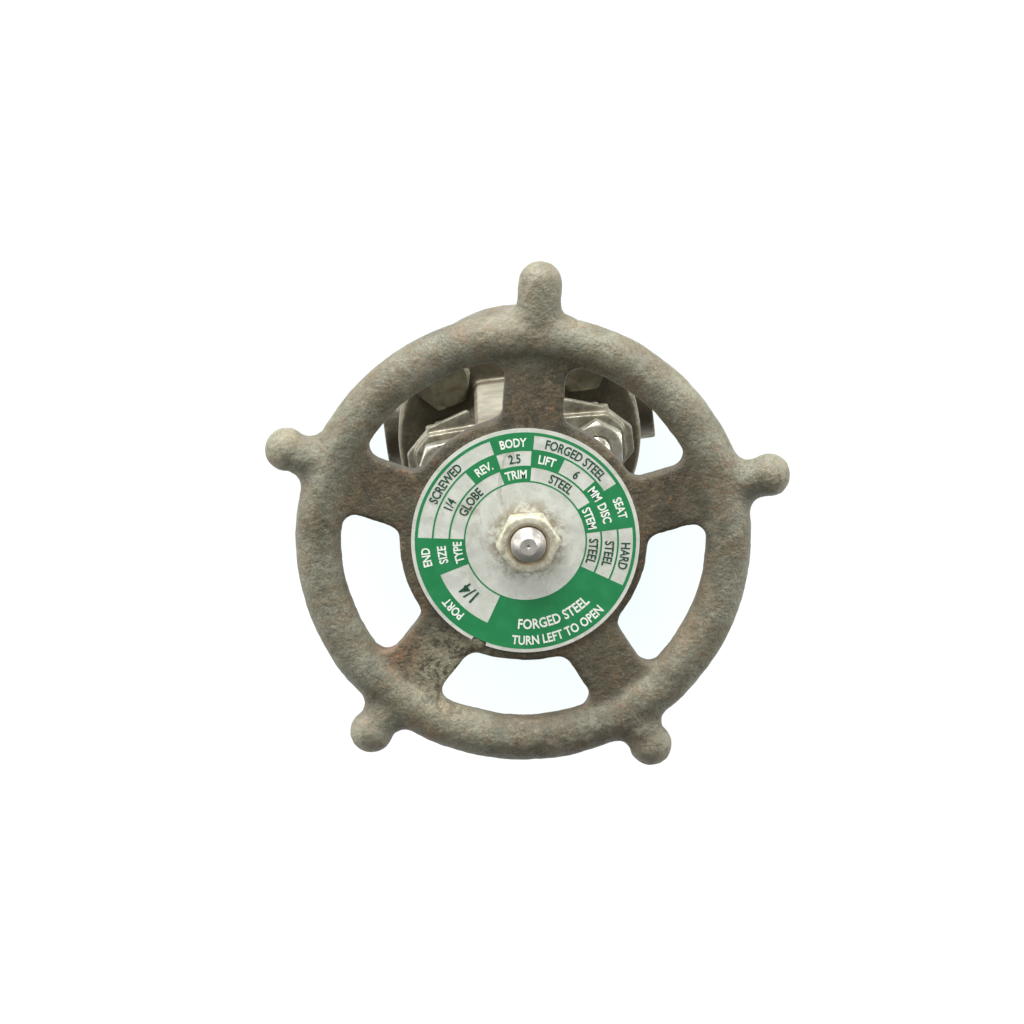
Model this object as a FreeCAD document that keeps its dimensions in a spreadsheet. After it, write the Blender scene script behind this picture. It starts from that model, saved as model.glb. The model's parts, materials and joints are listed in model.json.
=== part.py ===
# Forged-steel globe valve, 1/4 in, bolted bonnet, outside screw and yoke, shown shut.
# Millimetres. +Z runs up the stem and +X runs along the flow, towards the outlet.
# The origin is the middle of the flat foot under the body, on the stem axis.
import FreeCAD, Part
import math
import os

import Sketcher
from FreeCAD import Placement, Rotation, Vector

SIZES = {
    # body forging
    "flow_height": 22.0,
    "end_to_end": 68.0,
    "end_hub_radius": 11.5,
    "foot_radius": 12.0,
    "barrel_radius": 18.5,
    "barrel_base": 9.0,
    "barrel_top": 37.0,
    "barrel_flare": 1.5,
    "foot_land": 2.0,
    "flange_radius": 30.0,
    "flange_thick": 10.0,
    "body_top": 50.0,
    "port_radius": 5.7,
    "port_depth": 13.5,
    "port_chamfer": 1.2,
    "passage_radius": 4.0,
    "under_seat_depth": 9.0,
    "inlet_meets_height": 13.0,
    "outlet_meets_reach": 9.0,
    "outlet_meets_height": 31.0,
    "chamber_radius": 12.0,
    "chamber_floor": 25.0,
    "forging_round": 3.0,
    # seat ring
    "fixed_gap": 0.02,
    "seat_ring_radius": 9.0,
    "seat_mouth_chamfer": 1.6,
    "seat_ring_bottom": 20.5,
    "seat_collar_radius": 10.8,
    "seat_collar_thick": 2.5,
    # gasketed joint between body and bonnet
    "gasket_inner": 13.0,
    "gasket_outer": 17.0,
    "gasket_thick": 1.6,
    "gasket_recess": 2.0,
    "flange_gap": 0.8,
    "flange_edge": 1.0,
    "gasket_side_gap": 0.1,
    "bolt_circle_radius": 24.0,
    "bolt_first_angle": 45.0,
    "bolt_radius": 3.95,
    "bolt_across_flats": 12.7,
    "bolt_head": 5.3,
    "bolt_tap_radius": 4.0,
    "bolt_hole_radius": 4.4,
    "bolt_end": 41.0,
    "bolt_head_turn": 15.0,
    # bonnet, stuffing box and yoke
    "neck_radius": 11.5,
    "neck_top": 74.0,
    "neck_root_radius": 14.2,
    "neck_root_height": 3.5,
    "box_radius": 7.94,
    "box_floor": 57.5,
    "arm_width": 19.6,
    "arm_outside": 15.0,
    "arm_inside": 9.9,
    "arm_root": 3.0,
    "arm_shoulder_drop": 32.0,
    "arm_neck_drop": 12.0,
    "arm_bend": 9.0,
    "arm_round": 1.7,
    "yoke_hub_radius": 12.5,
    "yoke_hub_bottom": 147.0,
    "yoke_hub_top": 163.0,
    "yoke_hub_edge": 1.5,
    # backseat
    "backseat_radius": 8.0,
    "backseat_height": 5.5,
    "backseat_mouth": 6.9,
    "backseat_set_back": 0.8,
    # stem
    "stem_radius": 4.76,
    "stem_bore_gap": 0.3,
    "running_gap": 0.05,
    "button_radius": 5.0,
    "button_bottom": 31.1,
    "button_thick": 1.9,
    "stem_neck_radius": 3.0,
    "collar_radius": 6.6,
    "collar_bottom": 41.0,
    "collar_thick": 2.1,
    "drive_flats": 8.0,
    "stem_end_radius": 3.97,
    "stem_tip": 190.0,
    "stem_dome_height": 2.2,
    "stem_dome_flat": 1.9,
    # disc and what holds it on the stem
    "disc_radius": 8.0,
    "disc_height": 8.2,
    "disc_gap": 0.15,
    "disc_cup_radius": 5.6,
    "disc_cup_floor": 30.0,
    "disc_spigot_radius": 3.0,
    "disc_face_radius": 5.4,
    "thrust_plate_thick": 0.8,
    "disc_nut_bottom": 33.3,
    "disc_nut_flats": 13.0,
    "disc_nut_head": 2.5,
    # packing and gland
    "washer_thick": 1.5,
    "packing_height": 2.6,
    "packing_rings": 5,
    "gland_collar_radius": 8.7,
    "gland_collar_bottom": 76.7,
    "gland_collar_thick": 2.3,
    "gland_plate_bottom": 78.0,
    "gland_plate_thick": 5.0,
    "gland_plate_reach": 25.5,
    "gland_plate_tip": 7.4,
    "gland_plate_waist": 8.2,
    "gland_plate_bore": 6.3,
    "gland_plate_round": 2.6,
    "gland_base_thick": 2.4,
    "gland_base_reach": 27.5,
    "gland_base_tip": 3.0,
    "gland_base_bend": 21.5,
    "gland_base_bend_width": 8.8,
    "gland_base_shoulder": 10.9,
    "gland_base_width": 12.2,
    "gland_base_notch": 9.4,
    "gland_base_round": 1.1,
    "gland_slip": 0.08,
    "gland_bolt_offset": 18.6,
    "gland_bolt_radius": 3.0,
    "gland_bolt_hole": 3.5,
    "gland_bolt_top": 94.0,
    "gland_nut_flats": 11.9,
    "gland_nut_height": 5.6,
    "eye_radius": 3.9,
    "eye_height": 66.3,
    "eye_thick": 6.2,
    "eye_pin_radius": 1.6,
    "lug_inner": 3.5,
    "lug_thick": 3.0,
    "lug_height": 8.4,
    "lug_pin_proud": 0.8,
    # yoke bushing
    "bushing_radius": 8.0,
    "bushing_bottom": 145.5,
    "bushing_collar_radius": 10.4,
    "bushing_collar_thick": 3.0,
    "set_screw_radius": 1.6,
    "set_screw_height": 155.0,
    "set_screw_sunk": 0.3,
    # handwheel, nameplate and its nut
    "wheel_height": 180.0,
    "wheel_turn": 80.4,
    "wheel_offset": 1.0,
    "rim_radius": 45.7,
    "rim_half": 5.1,
    "web_radius": 27.6,
    "web_thick": 5.0,
    "window_outer": 40.8,
    "window_round": 3.2,
    "spoke_width": 13.4,
    "hub_bottom": 170.5,
    "hub_boss_radius": 10.5,
    "hub_boss_flare": 3.0,
    "knob_radius": 4.85,
    "knob_neck": 0.45,
    "knob_reach": 61.0,
    "knob_root_end": 53.0,
    "knob_root_round": 3.6,
    "plate_radius": 25.4,
    "plate_thick": 0.8,
    "plate_offset": 0.6,
    "plate_bore": 4.3,
    "plate_notch_radius": 1.7,
    "plate_notch_gap": 0.15,
    "plate_notch_angle": 238.7,
    "nut_across_flats": 12.7,
    "nut_height": 4.3,
    "nut_bore": 4.02,
    "nut_angle": 57.0,
}
# The casting is a little out of true: how far each spoke and each knob stands from
# its even place, in degrees, and how much longer each knob is than knob_reach.
SPOKE_SWINGS = (-1.4, 1.6, -0.2, -0.3, 0.0)
KNOB_SWINGS = (-1.1, -0.5, 0.9, -2.2, -0.8)
KNOB_STRETCHES = (1.6, 0.2, -0.4, -0.8, 0.2)

# How far a cutting tool runs past the face it goes through, and how far
# one solid runs into the next where they are joined.
PAST = 5.0
INTO = 1.0

TINY = 0.01
HEX_CORNER = 1 / math.sqrt(3)
HEX_FACE = 0.49
NUT_CHAMFER_SLOPE = 1 / math.tan(math.radians(30))
AXIS_X = Rotation(Vector(0, 1, 0), 90)
AXIS_Y = Rotation(Vector(1, 0, 0), -90)
LEVEL = Rotation()

doc = FreeCAD.newDocument("globe_valve")
sheet = doc.addObject("Spreadsheet::Sheet", "sizes")


class Size:
    """A length that knows its number and the expression that gives it."""

    def __init__(self, number, text):
        self.number = number
        self.text = text

    def _join(self, other, sign, result):
        return Size(result, f"({self.text} {sign} {text_of(other)})")

    def __add__(self, other):
        return self._join(other, "+", self.number + number_of(other))

    def __sub__(self, other):
        return self._join(other, "-", self.number - number_of(other))

    def __mul__(self, other):
        return self._join(other, "*", self.number * number_of(other))

    def __truediv__(self, other):
        return self._join(other, "/", self.number / number_of(other))

    def __neg__(self):
        return self * -1


def number_of(value):
    return value.number if isinstance(value, Size) else float(value)


def text_of(value):
    return value.text if isinstance(value, Size) else f"({float(value)!r})"


def fill_sheet():
    cells = dict(SIZES)
    for alias, values in (("spoke_swing", SPOKE_SWINGS), ("knob_swing", KNOB_SWINGS),
                          ("knob_stretch", KNOB_STRETCHES)):
        cells.update((f"{alias}_{i}", value) for i, value in enumerate(values))
    for row, (alias, value) in enumerate(cells.items(), start=1):
        sheet.set(f"A{row}", alias)
        sheet.set(f"B{row}", str(value))
        sheet.setAlias(f"B{row}", alias)
    doc.recompute()


def size(alias):
    return Size(float(sheet.get(alias)), f"sizes.{alias}")


def bind(thing, property_name, value):
    """Ties one property to the sheet, or sets it where it is a plain number."""
    if isinstance(value, Size):
        thing.setExpression(property_name, value.text)
    else:
        setattr(thing, property_name, value)


def put(thing, x=0.0, y=0.0, z=0.0, rotation=LEVEL):
    """Gives an object its place; coordinates may be sizes."""
    thing.Placement = Placement(Vector(number_of(x), number_of(y), number_of(z)), rotation)
    for axis, value in (("x", x), ("y", y), ("z", z)):
        if isinstance(value, Size):
            thing.setExpression(f"Placement.Base.{axis}", value.text)
    return thing


def cylinder(name, radius, height, x=0.0, y=0.0, z=0.0, rotation=LEVEL):
    solid = doc.addObject("Part::Cylinder", name)
    bind(solid, "Radius", radius)
    bind(solid, "Height", height)
    return put(solid, x, y, z, rotation)


def cone(name, radius_1, radius_2, height, x=0.0, y=0.0, z=0.0, rotation=LEVEL):
    solid = doc.addObject("Part::Cone", name)
    bind(solid, "Radius1", radius_1)
    bind(solid, "Radius2", radius_2)
    bind(solid, "Height", height)
    return put(solid, x, y, z, rotation)


def box(name, x0, x1, y0, y1, z0, z1):
    solid = doc.addObject("Part::Box", name)
    for side, low, high in (("Length", x0, x1), ("Width", y0, y1), ("Height", z0, z1)):
        bind(solid, side, high - low)
    return put(solid, x0, y0, z0)


def join(name, *pieces):
    fused = doc.addObject("Part::MultiFuse", name)
    fused.Shapes = list(pieces)
    return fused


def overlap(name, first, second):
    common = doc.addObject("Part::Common", name)
    common.Base, common.Tool = first, second
    return common


def cut(name, base, *tools):
    """Takes the tools out of the base."""
    result = doc.addObject("Part::Cut", name)
    result.Base = base
    result.Tool = tools[0] if len(tools) == 1 else join(f"{name}_cutters", *tools)
    return result


def group(name, pieces):
    compound = doc.addObject("Part::Compound", name)
    compound.Links = list(pieces)
    return compound


def rounded(name, base, radius, wanted):
    """Rounds the edges of base that wanted(edge) picks."""
    doc.recompute()
    fillet = doc.addObject("Part::Fillet", name)
    fillet.Base = base
    picked = [i for i, edge in enumerate(base.Shape.Edges, start=1) if wanted(edge)]
    fillet.Edges = [(i, radius.number, radius.number) for i in picked]
    return fillet


def is_upright(edge):
    return edge.BoundBox.XLength < TINY and edge.BoundBox.YLength < TINY


def sketch_on(body, name, role):
    """An empty sketch on one of the body's own origin planes."""
    sketch = body.newObject("Sketcher::SketchObject", name)
    plane = next(item for item in body.Origin.OriginFeatures if item.Role == role)
    sketch.AttachmentSupport = [(plane, "")]
    sketch.MapMode = "FlatFace"
    return sketch


def draw_outline(sketch, corners):
    """A closed outline of straight lines whose corners are tied to the sheet."""
    first = sketch.GeometryCount
    count = len(corners)
    places = [Vector(number_of(x), number_of(y), 0) for x, y in corners]
    for i in range(count):
        sketch.addGeometry(Part.LineSegment(places[i], places[(i + 1) % count]))
    for i in range(count):
        following = first + (i + 1) % count
        sketch.addConstraint(Sketcher.Constraint("Coincident", first + i, 2, following, 1))
    for i, (x, y) in enumerate(corners):
        for kind, axis, value in (("DistanceX", -2, x), ("DistanceY", -1, y)):
            if number_of(value) == 0:
                sketch.addConstraint(
                    Sketcher.Constraint("PointOnObject", first + i, 1, axis))
                continue
            index = sketch.addConstraint(
                Sketcher.Constraint(kind, first + i, 1, number_of(value)))
            if isinstance(value, Size):
                sketch.setExpression(f"Constraints[{index}]", value.text)


def turned(name, corners):
    """A body turned about the stem axis from corners given as (radius, height)."""
    body = doc.addObject("PartDesign::Body", name)
    sketch = sketch_on(body, f"{name}_outline", "XZ_Plane")
    draw_outline(sketch, corners)
    turn = body.newObject("PartDesign::Revolution", f"{name}_turn")
    turn.Profile = sketch
    turn.ReferenceAxis = (sketch, ["V_Axis"])
    turn.Angle = 360
    return body


def sleeve(name, inner, outer, bottom, top):
    return turned(name, [(inner, bottom), (outer, bottom), (outer, top), (inner, top)])


def hexagon(name, across_flats, height, x=0.0, y=0.0, z=0.0, turn=0.0):
    """A hexagonal head or nut blank with the usual 30 degree chamfer on top."""
    prism = doc.addObject("Part::Prism", f"{name}_prism")
    prism.Polygon = 6
    bind(prism, "Circumradius", across_flats * HEX_CORNER)
    bind(prism, "Height", height)
    put(prism, x, y, z, Rotation(Vector(0, 0, 1), turn))
    top_radius = across_flats * HEX_FACE
    chamfer = cone(f"{name}_chamfer", top_radius + height * NUT_CHAMFER_SLOPE,
                   top_radius, height, x, y, z)
    return overlap(name, prism, chamfer)


fill_sheet()

flow_height = size("flow_height")
body_top = size("body_top")
flange_radius = size("flange_radius")
flange_thick = size("flange_thick")
bonnet_bottom = body_top + size("flange_gap")
bonnet_top = bonnet_bottom + flange_thick
stem_radius = size("stem_radius")
stem_hole = stem_radius + size("stem_bore_gap")
running_bore = stem_radius + size("running_gap")
seat_top = size("chamber_floor") + size("seat_collar_thick")
wheel_height = size("wheel_height")
web_top = wheel_height + size("web_thick") / 2
plate_top = web_top + size("plate_thick")


def bolt_places():
    """The four bonnet bolts: name suffix and place on the bolt circle."""
    radius = size("bolt_circle_radius")
    for i in range(4):
        angle = math.radians(size("bolt_first_angle").number + 90 * i)
        yield i, radius * math.cos(angle), radius * math.sin(angle)


def make_body():
    """Round forging with two screwed ends and Z-shaped passages under and over the seat."""
    barrel = turned("body_barrel", [
        (0, 0), (size("foot_radius"), 0), (size("foot_radius"), size("foot_land")),
        (size("barrel_radius"), size("barrel_base")),
        (size("barrel_radius"), size("barrel_top")),
        (size("barrel_radius") + size("barrel_flare"), body_top - flange_thick),
        (flange_radius, body_top - flange_thick), (flange_radius, body_top), (0, body_top)])
    half = size("end_to_end") / 2
    hubs = cylinder("body_end_hubs", size("end_hub_radius"), size("end_to_end"),
                    -half, 0, flow_height, AXIS_X)
    forging = join("body_forging", barrel, hubs)

    def meets_barrel(edge):
        """The curved seam all round an end hub where it leaves the barrel."""
        box_of = edge.BoundBox
        half_way_round = size("end_hub_radius").number + INTO / 2
        return min(box_of.YLength, box_of.ZLength) >= half_way_round and box_of.XLength > 2

    forging = rounded("body_rounded", forging, size("forging_round"), meets_barrel)

    cutters = [
        cylinder("body_chamber", size("chamber_radius"), body_top - size("chamber_floor"),
                 0, 0, size("chamber_floor")),
        cylinder("body_gasket_seat", size("gasket_outer") + size("gasket_side_gap"),
                 size("gasket_recess"),
                 0, 0, body_top - size("gasket_recess")),
        cylinder("body_ring_thread", size("seat_ring_radius"), size("chamber_floor"),
                 0, 0, size("seat_ring_bottom")),
        cylinder("body_under_seat", size("passage_radius"), size("chamber_floor"),
                 0, 0, size("under_seat_depth")),
    ]
    for side, name in ((-1, "inlet"), (1, "outlet")):
        inward = Rotation(Vector(0, 0, 1), Vector(-side, 0, 0))
        face = half * side
        cutters.append(cylinder(f"body_{name}_thread", size("port_radius"),
                                size("port_depth"), face, 0, flow_height, inward))
        cutters.append(cone(f"body_{name}_chamfer",
                            size("port_radius") + size("port_chamfer"), size("port_radius"),
                            size("port_chamfer"), face, 0, flow_height, inward))
    port_end = half.number - size("port_depth").number
    down = Vector(port_end, 0, size("inlet_meets_height").number - flow_height.number)
    up = Vector(size("outlet_meets_reach").number - port_end, 0,
                size("outlet_meets_height").number - flow_height.number)
    cutters.append(cylinder("body_inlet_passage", size("passage_radius"), down.Length,
                            size("port_depth") - half, 0, flow_height,
                            Rotation(Vector(0, 0, 1), down)))
    cutters.append(cylinder("body_outlet_passage", size("passage_radius"), up.Length,
                            half - size("port_depth"), 0, flow_height,
                            Rotation(Vector(0, 0, 1), up)))
    for i, x, y in bolt_places():
        cutters.append(cylinder(f"body_bolt_hole_{i}", size("bolt_tap_radius"),
                                flange_thick + INTO * 2, x, y,
                                body_top - flange_thick - INTO))
    return cut("body", forging, *cutters)


def make_seat_ring():
    bore, mouth = size("passage_radius"), size("seat_mouth_chamfer")
    thread = size("seat_ring_radius") - size("fixed_gap")
    return turned("seat_ring", [
        (bore, size("seat_ring_bottom")), (thread, size("seat_ring_bottom")),
        (thread, size("chamber_floor")),
        (size("seat_collar_radius"), size("chamber_floor")),
        (size("seat_collar_radius"), seat_top), (bore + mouth, seat_top),
        (bore, seat_top - mouth)])


def make_gasket():
    bottom = body_top - size("gasket_recess")
    return sleeve("bonnet_gasket", size("gasket_inner"), size("gasket_outer"),
                  bottom, bottom + size("gasket_thick"))


def make_yoke_arms():
    """Front and back arms, drawn as seen from the outlet and as wide as arm_width."""
    body = doc.addObject("PartDesign::Body", "yoke_arms")
    sketch = sketch_on(body, "yoke_arms_outline", "YZ_Plane")
    hub_low, hub_high = size("yoke_hub_bottom"), size("yoke_hub_top")
    hub_radius = size("yoke_hub_radius")
    outside, inside = size("arm_outside"), size("arm_inside")
    root = bonnet_top - size("arm_root")
    arm = [
        (outside, root), (outside, hub_low - size("arm_shoulder_drop")),
        (hub_radius - INTO, hub_high - size("arm_root")),
        (hub_radius - size("arm_root") - INTO, hub_low + size("yoke_hub_edge")),
        (inside, hub_low - size("arm_neck_drop")), (inside, root)]
    draw_outline(sketch, arm)
    draw_outline(sketch, [(-y, z) for y, z in arm])
    pad = body.newObject("PartDesign::Pad", "yoke_arms_pad")
    pad.Profile = sketch
    pad.SideType = "Symmetric"
    bind(pad, "Length", size("arm_width"))

    def is_bend(edge):
        """An edge straight through an arm, where the outline turns a corner."""
        box_of = edge.BoundBox
        between = bonnet_top.number < box_of.ZMin < hub_low.number
        return between and box_of.YLength < TINY and box_of.ZLength < TINY

    bent = rounded("yoke_arms_bent", body, size("arm_bend"), is_bend)

    def is_long(edge):
        """An edge that runs along an arm on one of its sides."""
        box_of = edge.BoundBox
        return box_of.XLength < TINY and box_of.ZLength > 1

    return rounded("yoke_arms_rounded", bent, size("arm_round"), is_long)


def gland_sides():
    """The two sides of the stuffing box that carry an eyebolt."""
    yield "inlet", -1
    yield "outlet", 1


def make_bonnet():
    """Bonnet flange, stuffing box, eyebolt lugs, two yoke arms and the yoke hub."""
    spigot, edge = size("gasket_outer"), size("flange_edge")
    spigot_end = body_top - size("gasket_recess") + size("gasket_thick")
    core = turned("bonnet_core", [
        (0, spigot_end), (spigot, spigot_end),
        (spigot, bonnet_bottom), (flange_radius, bonnet_bottom),
        (flange_radius, bonnet_top - edge), (flange_radius - edge, bonnet_top),
        (size("neck_root_radius"), bonnet_top),
        (size("neck_radius"), bonnet_top + size("neck_root_height")),
        (size("neck_radius"), size("neck_top")), (0, size("neck_top"))])
    hub_radius, hub_edge = size("yoke_hub_radius"), size("yoke_hub_edge")
    hub_low, hub_high = size("yoke_hub_bottom"), size("yoke_hub_top")
    hub = turned("yoke_hub", [
        (0, hub_low), (hub_radius - hub_edge, hub_low), (hub_radius, hub_low + hub_edge),
        (hub_radius, hub_high - edge), (hub_radius - edge, hub_high), (0, hub_high)])
    solids = [core, make_yoke_arms(), hub]
    cutters = [
        cylinder("bonnet_backseat_thread", size("backseat_radius"), size("backseat_height"),
                 0, 0, bonnet_bottom - size("gasket_recess")),
        cylinder("bonnet_stem_hole", stem_hole, size("neck_top") - body_top, 0, 0, body_top),
        cylinder("bonnet_box", size("box_radius"), size("neck_top") - size("box_floor") + INTO,
                 0, 0, size("box_floor")),
        cylinder("bonnet_yoke_bore", size("bushing_radius"), hub_high - hub_low + PAST * 2,
                 0, 0, hub_low - PAST),
        cylinder("bonnet_screw_hole", size("set_screw_radius"), hub_radius,
                 -hub_radius - PAST, 0, size("set_screw_height"), AXIS_X),
    ]
    for i, x, y in bolt_places():
        cutters.append(cylinder(f"bonnet_bolt_hole_{i}", size("bolt_hole_radius"),
                                flange_thick + INTO * 2, x, y, bonnet_bottom - INTO))
    eye_height = size("eye_height")
    half_lug = size("lug_height") / 2
    lug_span = size("lug_inner") + size("lug_thick") + PAST
    for name, side in gland_sides():
        near = size("neck_radius") - INTO * 2
        far = size("gland_bolt_offset")
        x_low, x_high = (near, far) if side > 0 else (-far, -near)
        for hand, y_low in (("back", size("lug_inner")),
                            ("front", -size("lug_inner") - size("lug_thick"))):
            ear = cylinder(f"lug_{name}_{hand}_ear", half_lug, size("lug_thick"),
                           far * side, y_low, eye_height, AXIS_Y)
            stub = box(f"lug_{name}_{hand}_stub", x_low, x_high, y_low,
                       y_low + size("lug_thick"), eye_height - half_lug,
                       eye_height + half_lug)
            solids += [ear, stub]
        cutters.append(cylinder(f"lug_{name}_hole", size("eye_pin_radius"), lug_span * 2,
                                far * side, -lug_span, eye_height, AXIS_Y))
    return cut("bonnet", join("bonnet_forging", *solids), *cutters)


def make_backseat():
    """Bushing screwed up into the bonnet; the stem collar seals in its mouth when open."""
    bottom = bonnet_bottom - size("gasket_recess") + size("backseat_set_back")
    top = bonnet_bottom - size("gasket_recess") + size("backseat_height")
    return turned("backseat_bushing", [
        (size("backseat_mouth"), bottom), (size("backseat_radius"), bottom),
        (size("backseat_radius"), top), (stem_hole, top),
        (stem_hole, bottom + size("backseat_mouth") - stem_hole)])


def make_bonnet_bolts():
    bolts = []
    for i, x, y in bolt_places():
        head = hexagon(f"bolt_head_{i}", size("bolt_across_flats"), size("bolt_head"),
                       x, y, bonnet_top, size("bolt_head_turn").number * i)
        shank = cylinder(f"bolt_shank_{i}", size("bolt_radius"), bonnet_top - size("bolt_end"),
                         x, y, size("bolt_end"))
        bolts.append(join(f"bolt_{i}", head, shank))
    return group("bonnet_bolts", bolts)


def make_disc():
    """Plug that shuts on the seat; its cup takes the button on the end of the stem."""
    face = seat_top + size("disc_gap")
    top = face + size("disc_height")
    slope = size("disc_face_radius") - size("disc_spigot_radius")
    return turned("disc", [
        (0, face - slope), (size("disc_spigot_radius"), face - slope),
        (size("disc_face_radius"), face), (size("disc_radius"), face),
        (size("disc_radius"), top), (size("disc_cup_radius"), top),
        (size("disc_cup_radius"), size("disc_cup_floor")), (0, size("disc_cup_floor"))])


def make_thrust_plate():
    return cylinder("disc_thrust_plate", size("button_radius"), size("thrust_plate_thick"),
                    0, 0, size("disc_cup_floor"))


def make_disc_nut():
    """Hexagon-headed ring screwed into the cup, which keeps the stem button in."""
    head_bottom = seat_top + size("disc_gap") + size("disc_height")
    bottom = size("disc_nut_bottom")
    head = hexagon("disc_nut_head_blank", size("disc_nut_flats"), size("disc_nut_head"),
                   0, 0, head_bottom)
    skirt = cylinder("disc_nut_skirt", size("disc_cup_radius"), head_bottom - bottom,
                     0, 0, bottom)
    hole = cylinder("disc_nut_hole", size("stem_neck_radius") + size("stem_bore_gap"),
                    head_bottom - bottom + PAST * 2, 0, 0, bottom - PAST)
    return cut("disc_nut", join("disc_nut_blank", head, skirt), hole)


def drive_section(name, gap, bottom, top):
    """The flatted end of the stem, or the hole for it where gap is above zero."""
    half = size("drive_flats") / 2 + gap
    round_bar = cylinder(f"{name}_round", stem_radius + gap, top - bottom, 0, 0, bottom)
    square_bar = box(f"{name}_square", -half, half, -half, half, bottom, top)
    return overlap(name, round_bar, square_bar)


def make_stem():
    """One bar: swivel button, neck, backseat collar, screwed length, flats and nut thread."""
    button_top = size("button_bottom") + size("button_thick")
    collar_top = size("collar_bottom") + size("collar_thick")
    shoulder = size("hub_bottom")
    tip = size("stem_tip")
    end = size("stem_end_radius")
    lower = turned("stem_lower", [
        (0, size("button_bottom")), (size("button_radius"), size("button_bottom")),
        (size("button_radius"), button_top), (size("stem_neck_radius"), button_top),
        (size("stem_neck_radius"), size("collar_bottom")),
        (size("collar_radius"), size("collar_bottom")), (size("collar_radius"), collar_top),
        (stem_radius, collar_top + size("collar_radius") - stem_radius),
        (stem_radius, shoulder), (0, shoulder)])
    flats = drive_section("stem_flats", 0, shoulder - INTO, web_top - INTO)
    upper = turned("stem_upper", [
        (0, web_top - INTO), (end, web_top - INTO), (end, tip - size("stem_dome_height")),
        (size("stem_dome_flat"), tip), (0, tip)])
    return join("stem", lower, flats, upper)


def make_packing():
    bottom = size("box_floor") + size("washer_thick")
    ring_count = int(size("packing_rings").number)
    outer = size("box_radius") - size("fixed_gap")
    rings = []
    for i in range(ring_count):
        low = bottom + size("packing_height") * i
        rings.append(sleeve(f"packing_ring_{i + 1}", running_bore, outer,
                            low, low + size("packing_height")))
    return rings


def make_packing_washer():
    return sleeve("packing_washer", stem_hole, size("box_radius") - size("fixed_gap"),
                  size("box_floor"), size("box_floor") + size("washer_thick"))


def make_gland_bushing():
    packing_top = (size("box_floor") + size("washer_thick")
                   + size("packing_height") * size("packing_rings"))
    collar = size("gland_collar_bottom")
    collar_top = collar + size("gland_collar_thick")
    outer = size("box_radius") - size("gland_slip")
    return turned("gland_bushing", [
        (stem_hole, packing_top), (outer, packing_top),
        (outer, collar), (size("gland_collar_radius"), collar),
        (size("gland_collar_radius"), collar_top), (stem_hole, collar_top)])


def outline_plate(name, quarter, bottom, thick, round_size):
    """Flat plate, the same on all four quarters, with its upright corners rounded."""
    body = doc.addObject("PartDesign::Body", f"{name}_blank")
    sketch = sketch_on(body, f"{name}_outline", "XY_Plane")
    draw_outline(sketch, quarter + [(-x, y) for x, y in reversed(quarter)]
                 + [(-x, -y) for x, y in quarter] + [(x, -y) for x, y in reversed(quarter)])
    pad = body.newObject("PartDesign::Pad", f"{name}_pad")
    pad.Profile = sketch
    bind(pad, "Length", thick)
    put(body, 0, 0, bottom)
    return rounded(f"{name}_rounded", body, round_size, is_upright)


def make_gland_flange():
    """Stepped oval plate across the gland bushing, notched for the yoke arms, with a hole
    at each end for an eyebolt."""
    bottom = size("gland_plate_bottom")
    reach, tip = size("gland_plate_reach"), size("gland_plate_tip")
    corner = tip / 2
    shoulder = size("gland_base_shoulder")
    base = outline_plate("gland_base", [
        (size("gland_base_reach"), size("gland_base_tip")),
        (size("gland_base_bend"), size("gland_base_bend_width")),
        (shoulder, size("gland_base_width")), (shoulder, size("gland_base_notch"))],
        bottom, size("gland_base_thick"), size("gland_base_round"))
    raised = outline_plate("gland_plate", [
        (reach, tip - corner), (reach - corner, tip), (tip / 2, size("gland_plate_waist"))],
        bottom, size("gland_plate_thick"), size("gland_plate_round"))
    blank = join("gland_flange_blank", base, raised)
    collar_top = size("gland_collar_bottom") + size("gland_collar_thick")
    through = size("gland_plate_thick") + PAST * 2
    cutters = [
        cylinder("gland_plate_hole", size("gland_plate_bore"), through, 0, 0, bottom - PAST),
        cylinder("gland_plate_recess", size("gland_collar_radius") + size("gland_slip"),
                 collar_top - bottom + PAST, 0, 0, bottom - PAST)]
    for name, side in gland_sides():
        cutters.append(cylinder(f"gland_plate_hole_{name}", size("gland_bolt_hole"), through,
                                size("gland_bolt_offset") * side, 0, bottom - PAST))
    return cut("gland_flange", blank, *cutters)


def make_gland_bolting():
    """Eyebolts on pins through the bonnet lugs, with a nut on each above the gland."""
    eyebolts, pins, nuts = [], [], []
    eye_height = size("eye_height")
    plate_up = size("gland_plate_bottom") + size("gland_plate_thick")
    for name, side in gland_sides():
        x = size("gland_bolt_offset") * side
        eye = cylinder(f"eye_{name}", size("eye_radius"), size("eye_thick"),
                       x, -size("eye_thick") / 2, eye_height, AXIS_Y)
        rod = cylinder(f"eyebolt_rod_{name}", size("gland_bolt_radius"),
                       size("gland_bolt_top") - eye_height, x, 0, eye_height)
        hole = cylinder(f"eye_hole_{name}", size("eye_pin_radius") + size("running_gap"),
                        size("eye_thick") * 2, x, -size("eye_thick"), eye_height, AXIS_Y)
        eyebolts.append(cut(f"eyebolt_{name}", join(f"eyebolt_blank_{name}", eye, rod), hole))
        pin_half = size("lug_inner") + size("lug_thick") + size("lug_pin_proud")
        pins.append(cylinder(f"eye_pin_{name}", size("eye_pin_radius") - size("fixed_gap"),
                             pin_half * 2, x, -pin_half, eye_height, AXIS_Y))
        blank = hexagon(f"gland_nut_blank_{name}", size("gland_nut_flats"),
                        size("gland_nut_height"), x, 0, plate_up)
        thread = cylinder(f"gland_nut_thread_{name}",
                          size("gland_bolt_radius") + size("running_gap"),
                          size("gland_nut_height") + PAST * 2, x, 0, plate_up - PAST)
        nuts.append(cut(f"gland_nut_{name}", blank, thread))
    return (group("gland_eyebolts", eyebolts), group("gland_eyebolt_pins", pins),
            group("gland_nuts", nuts))


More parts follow.
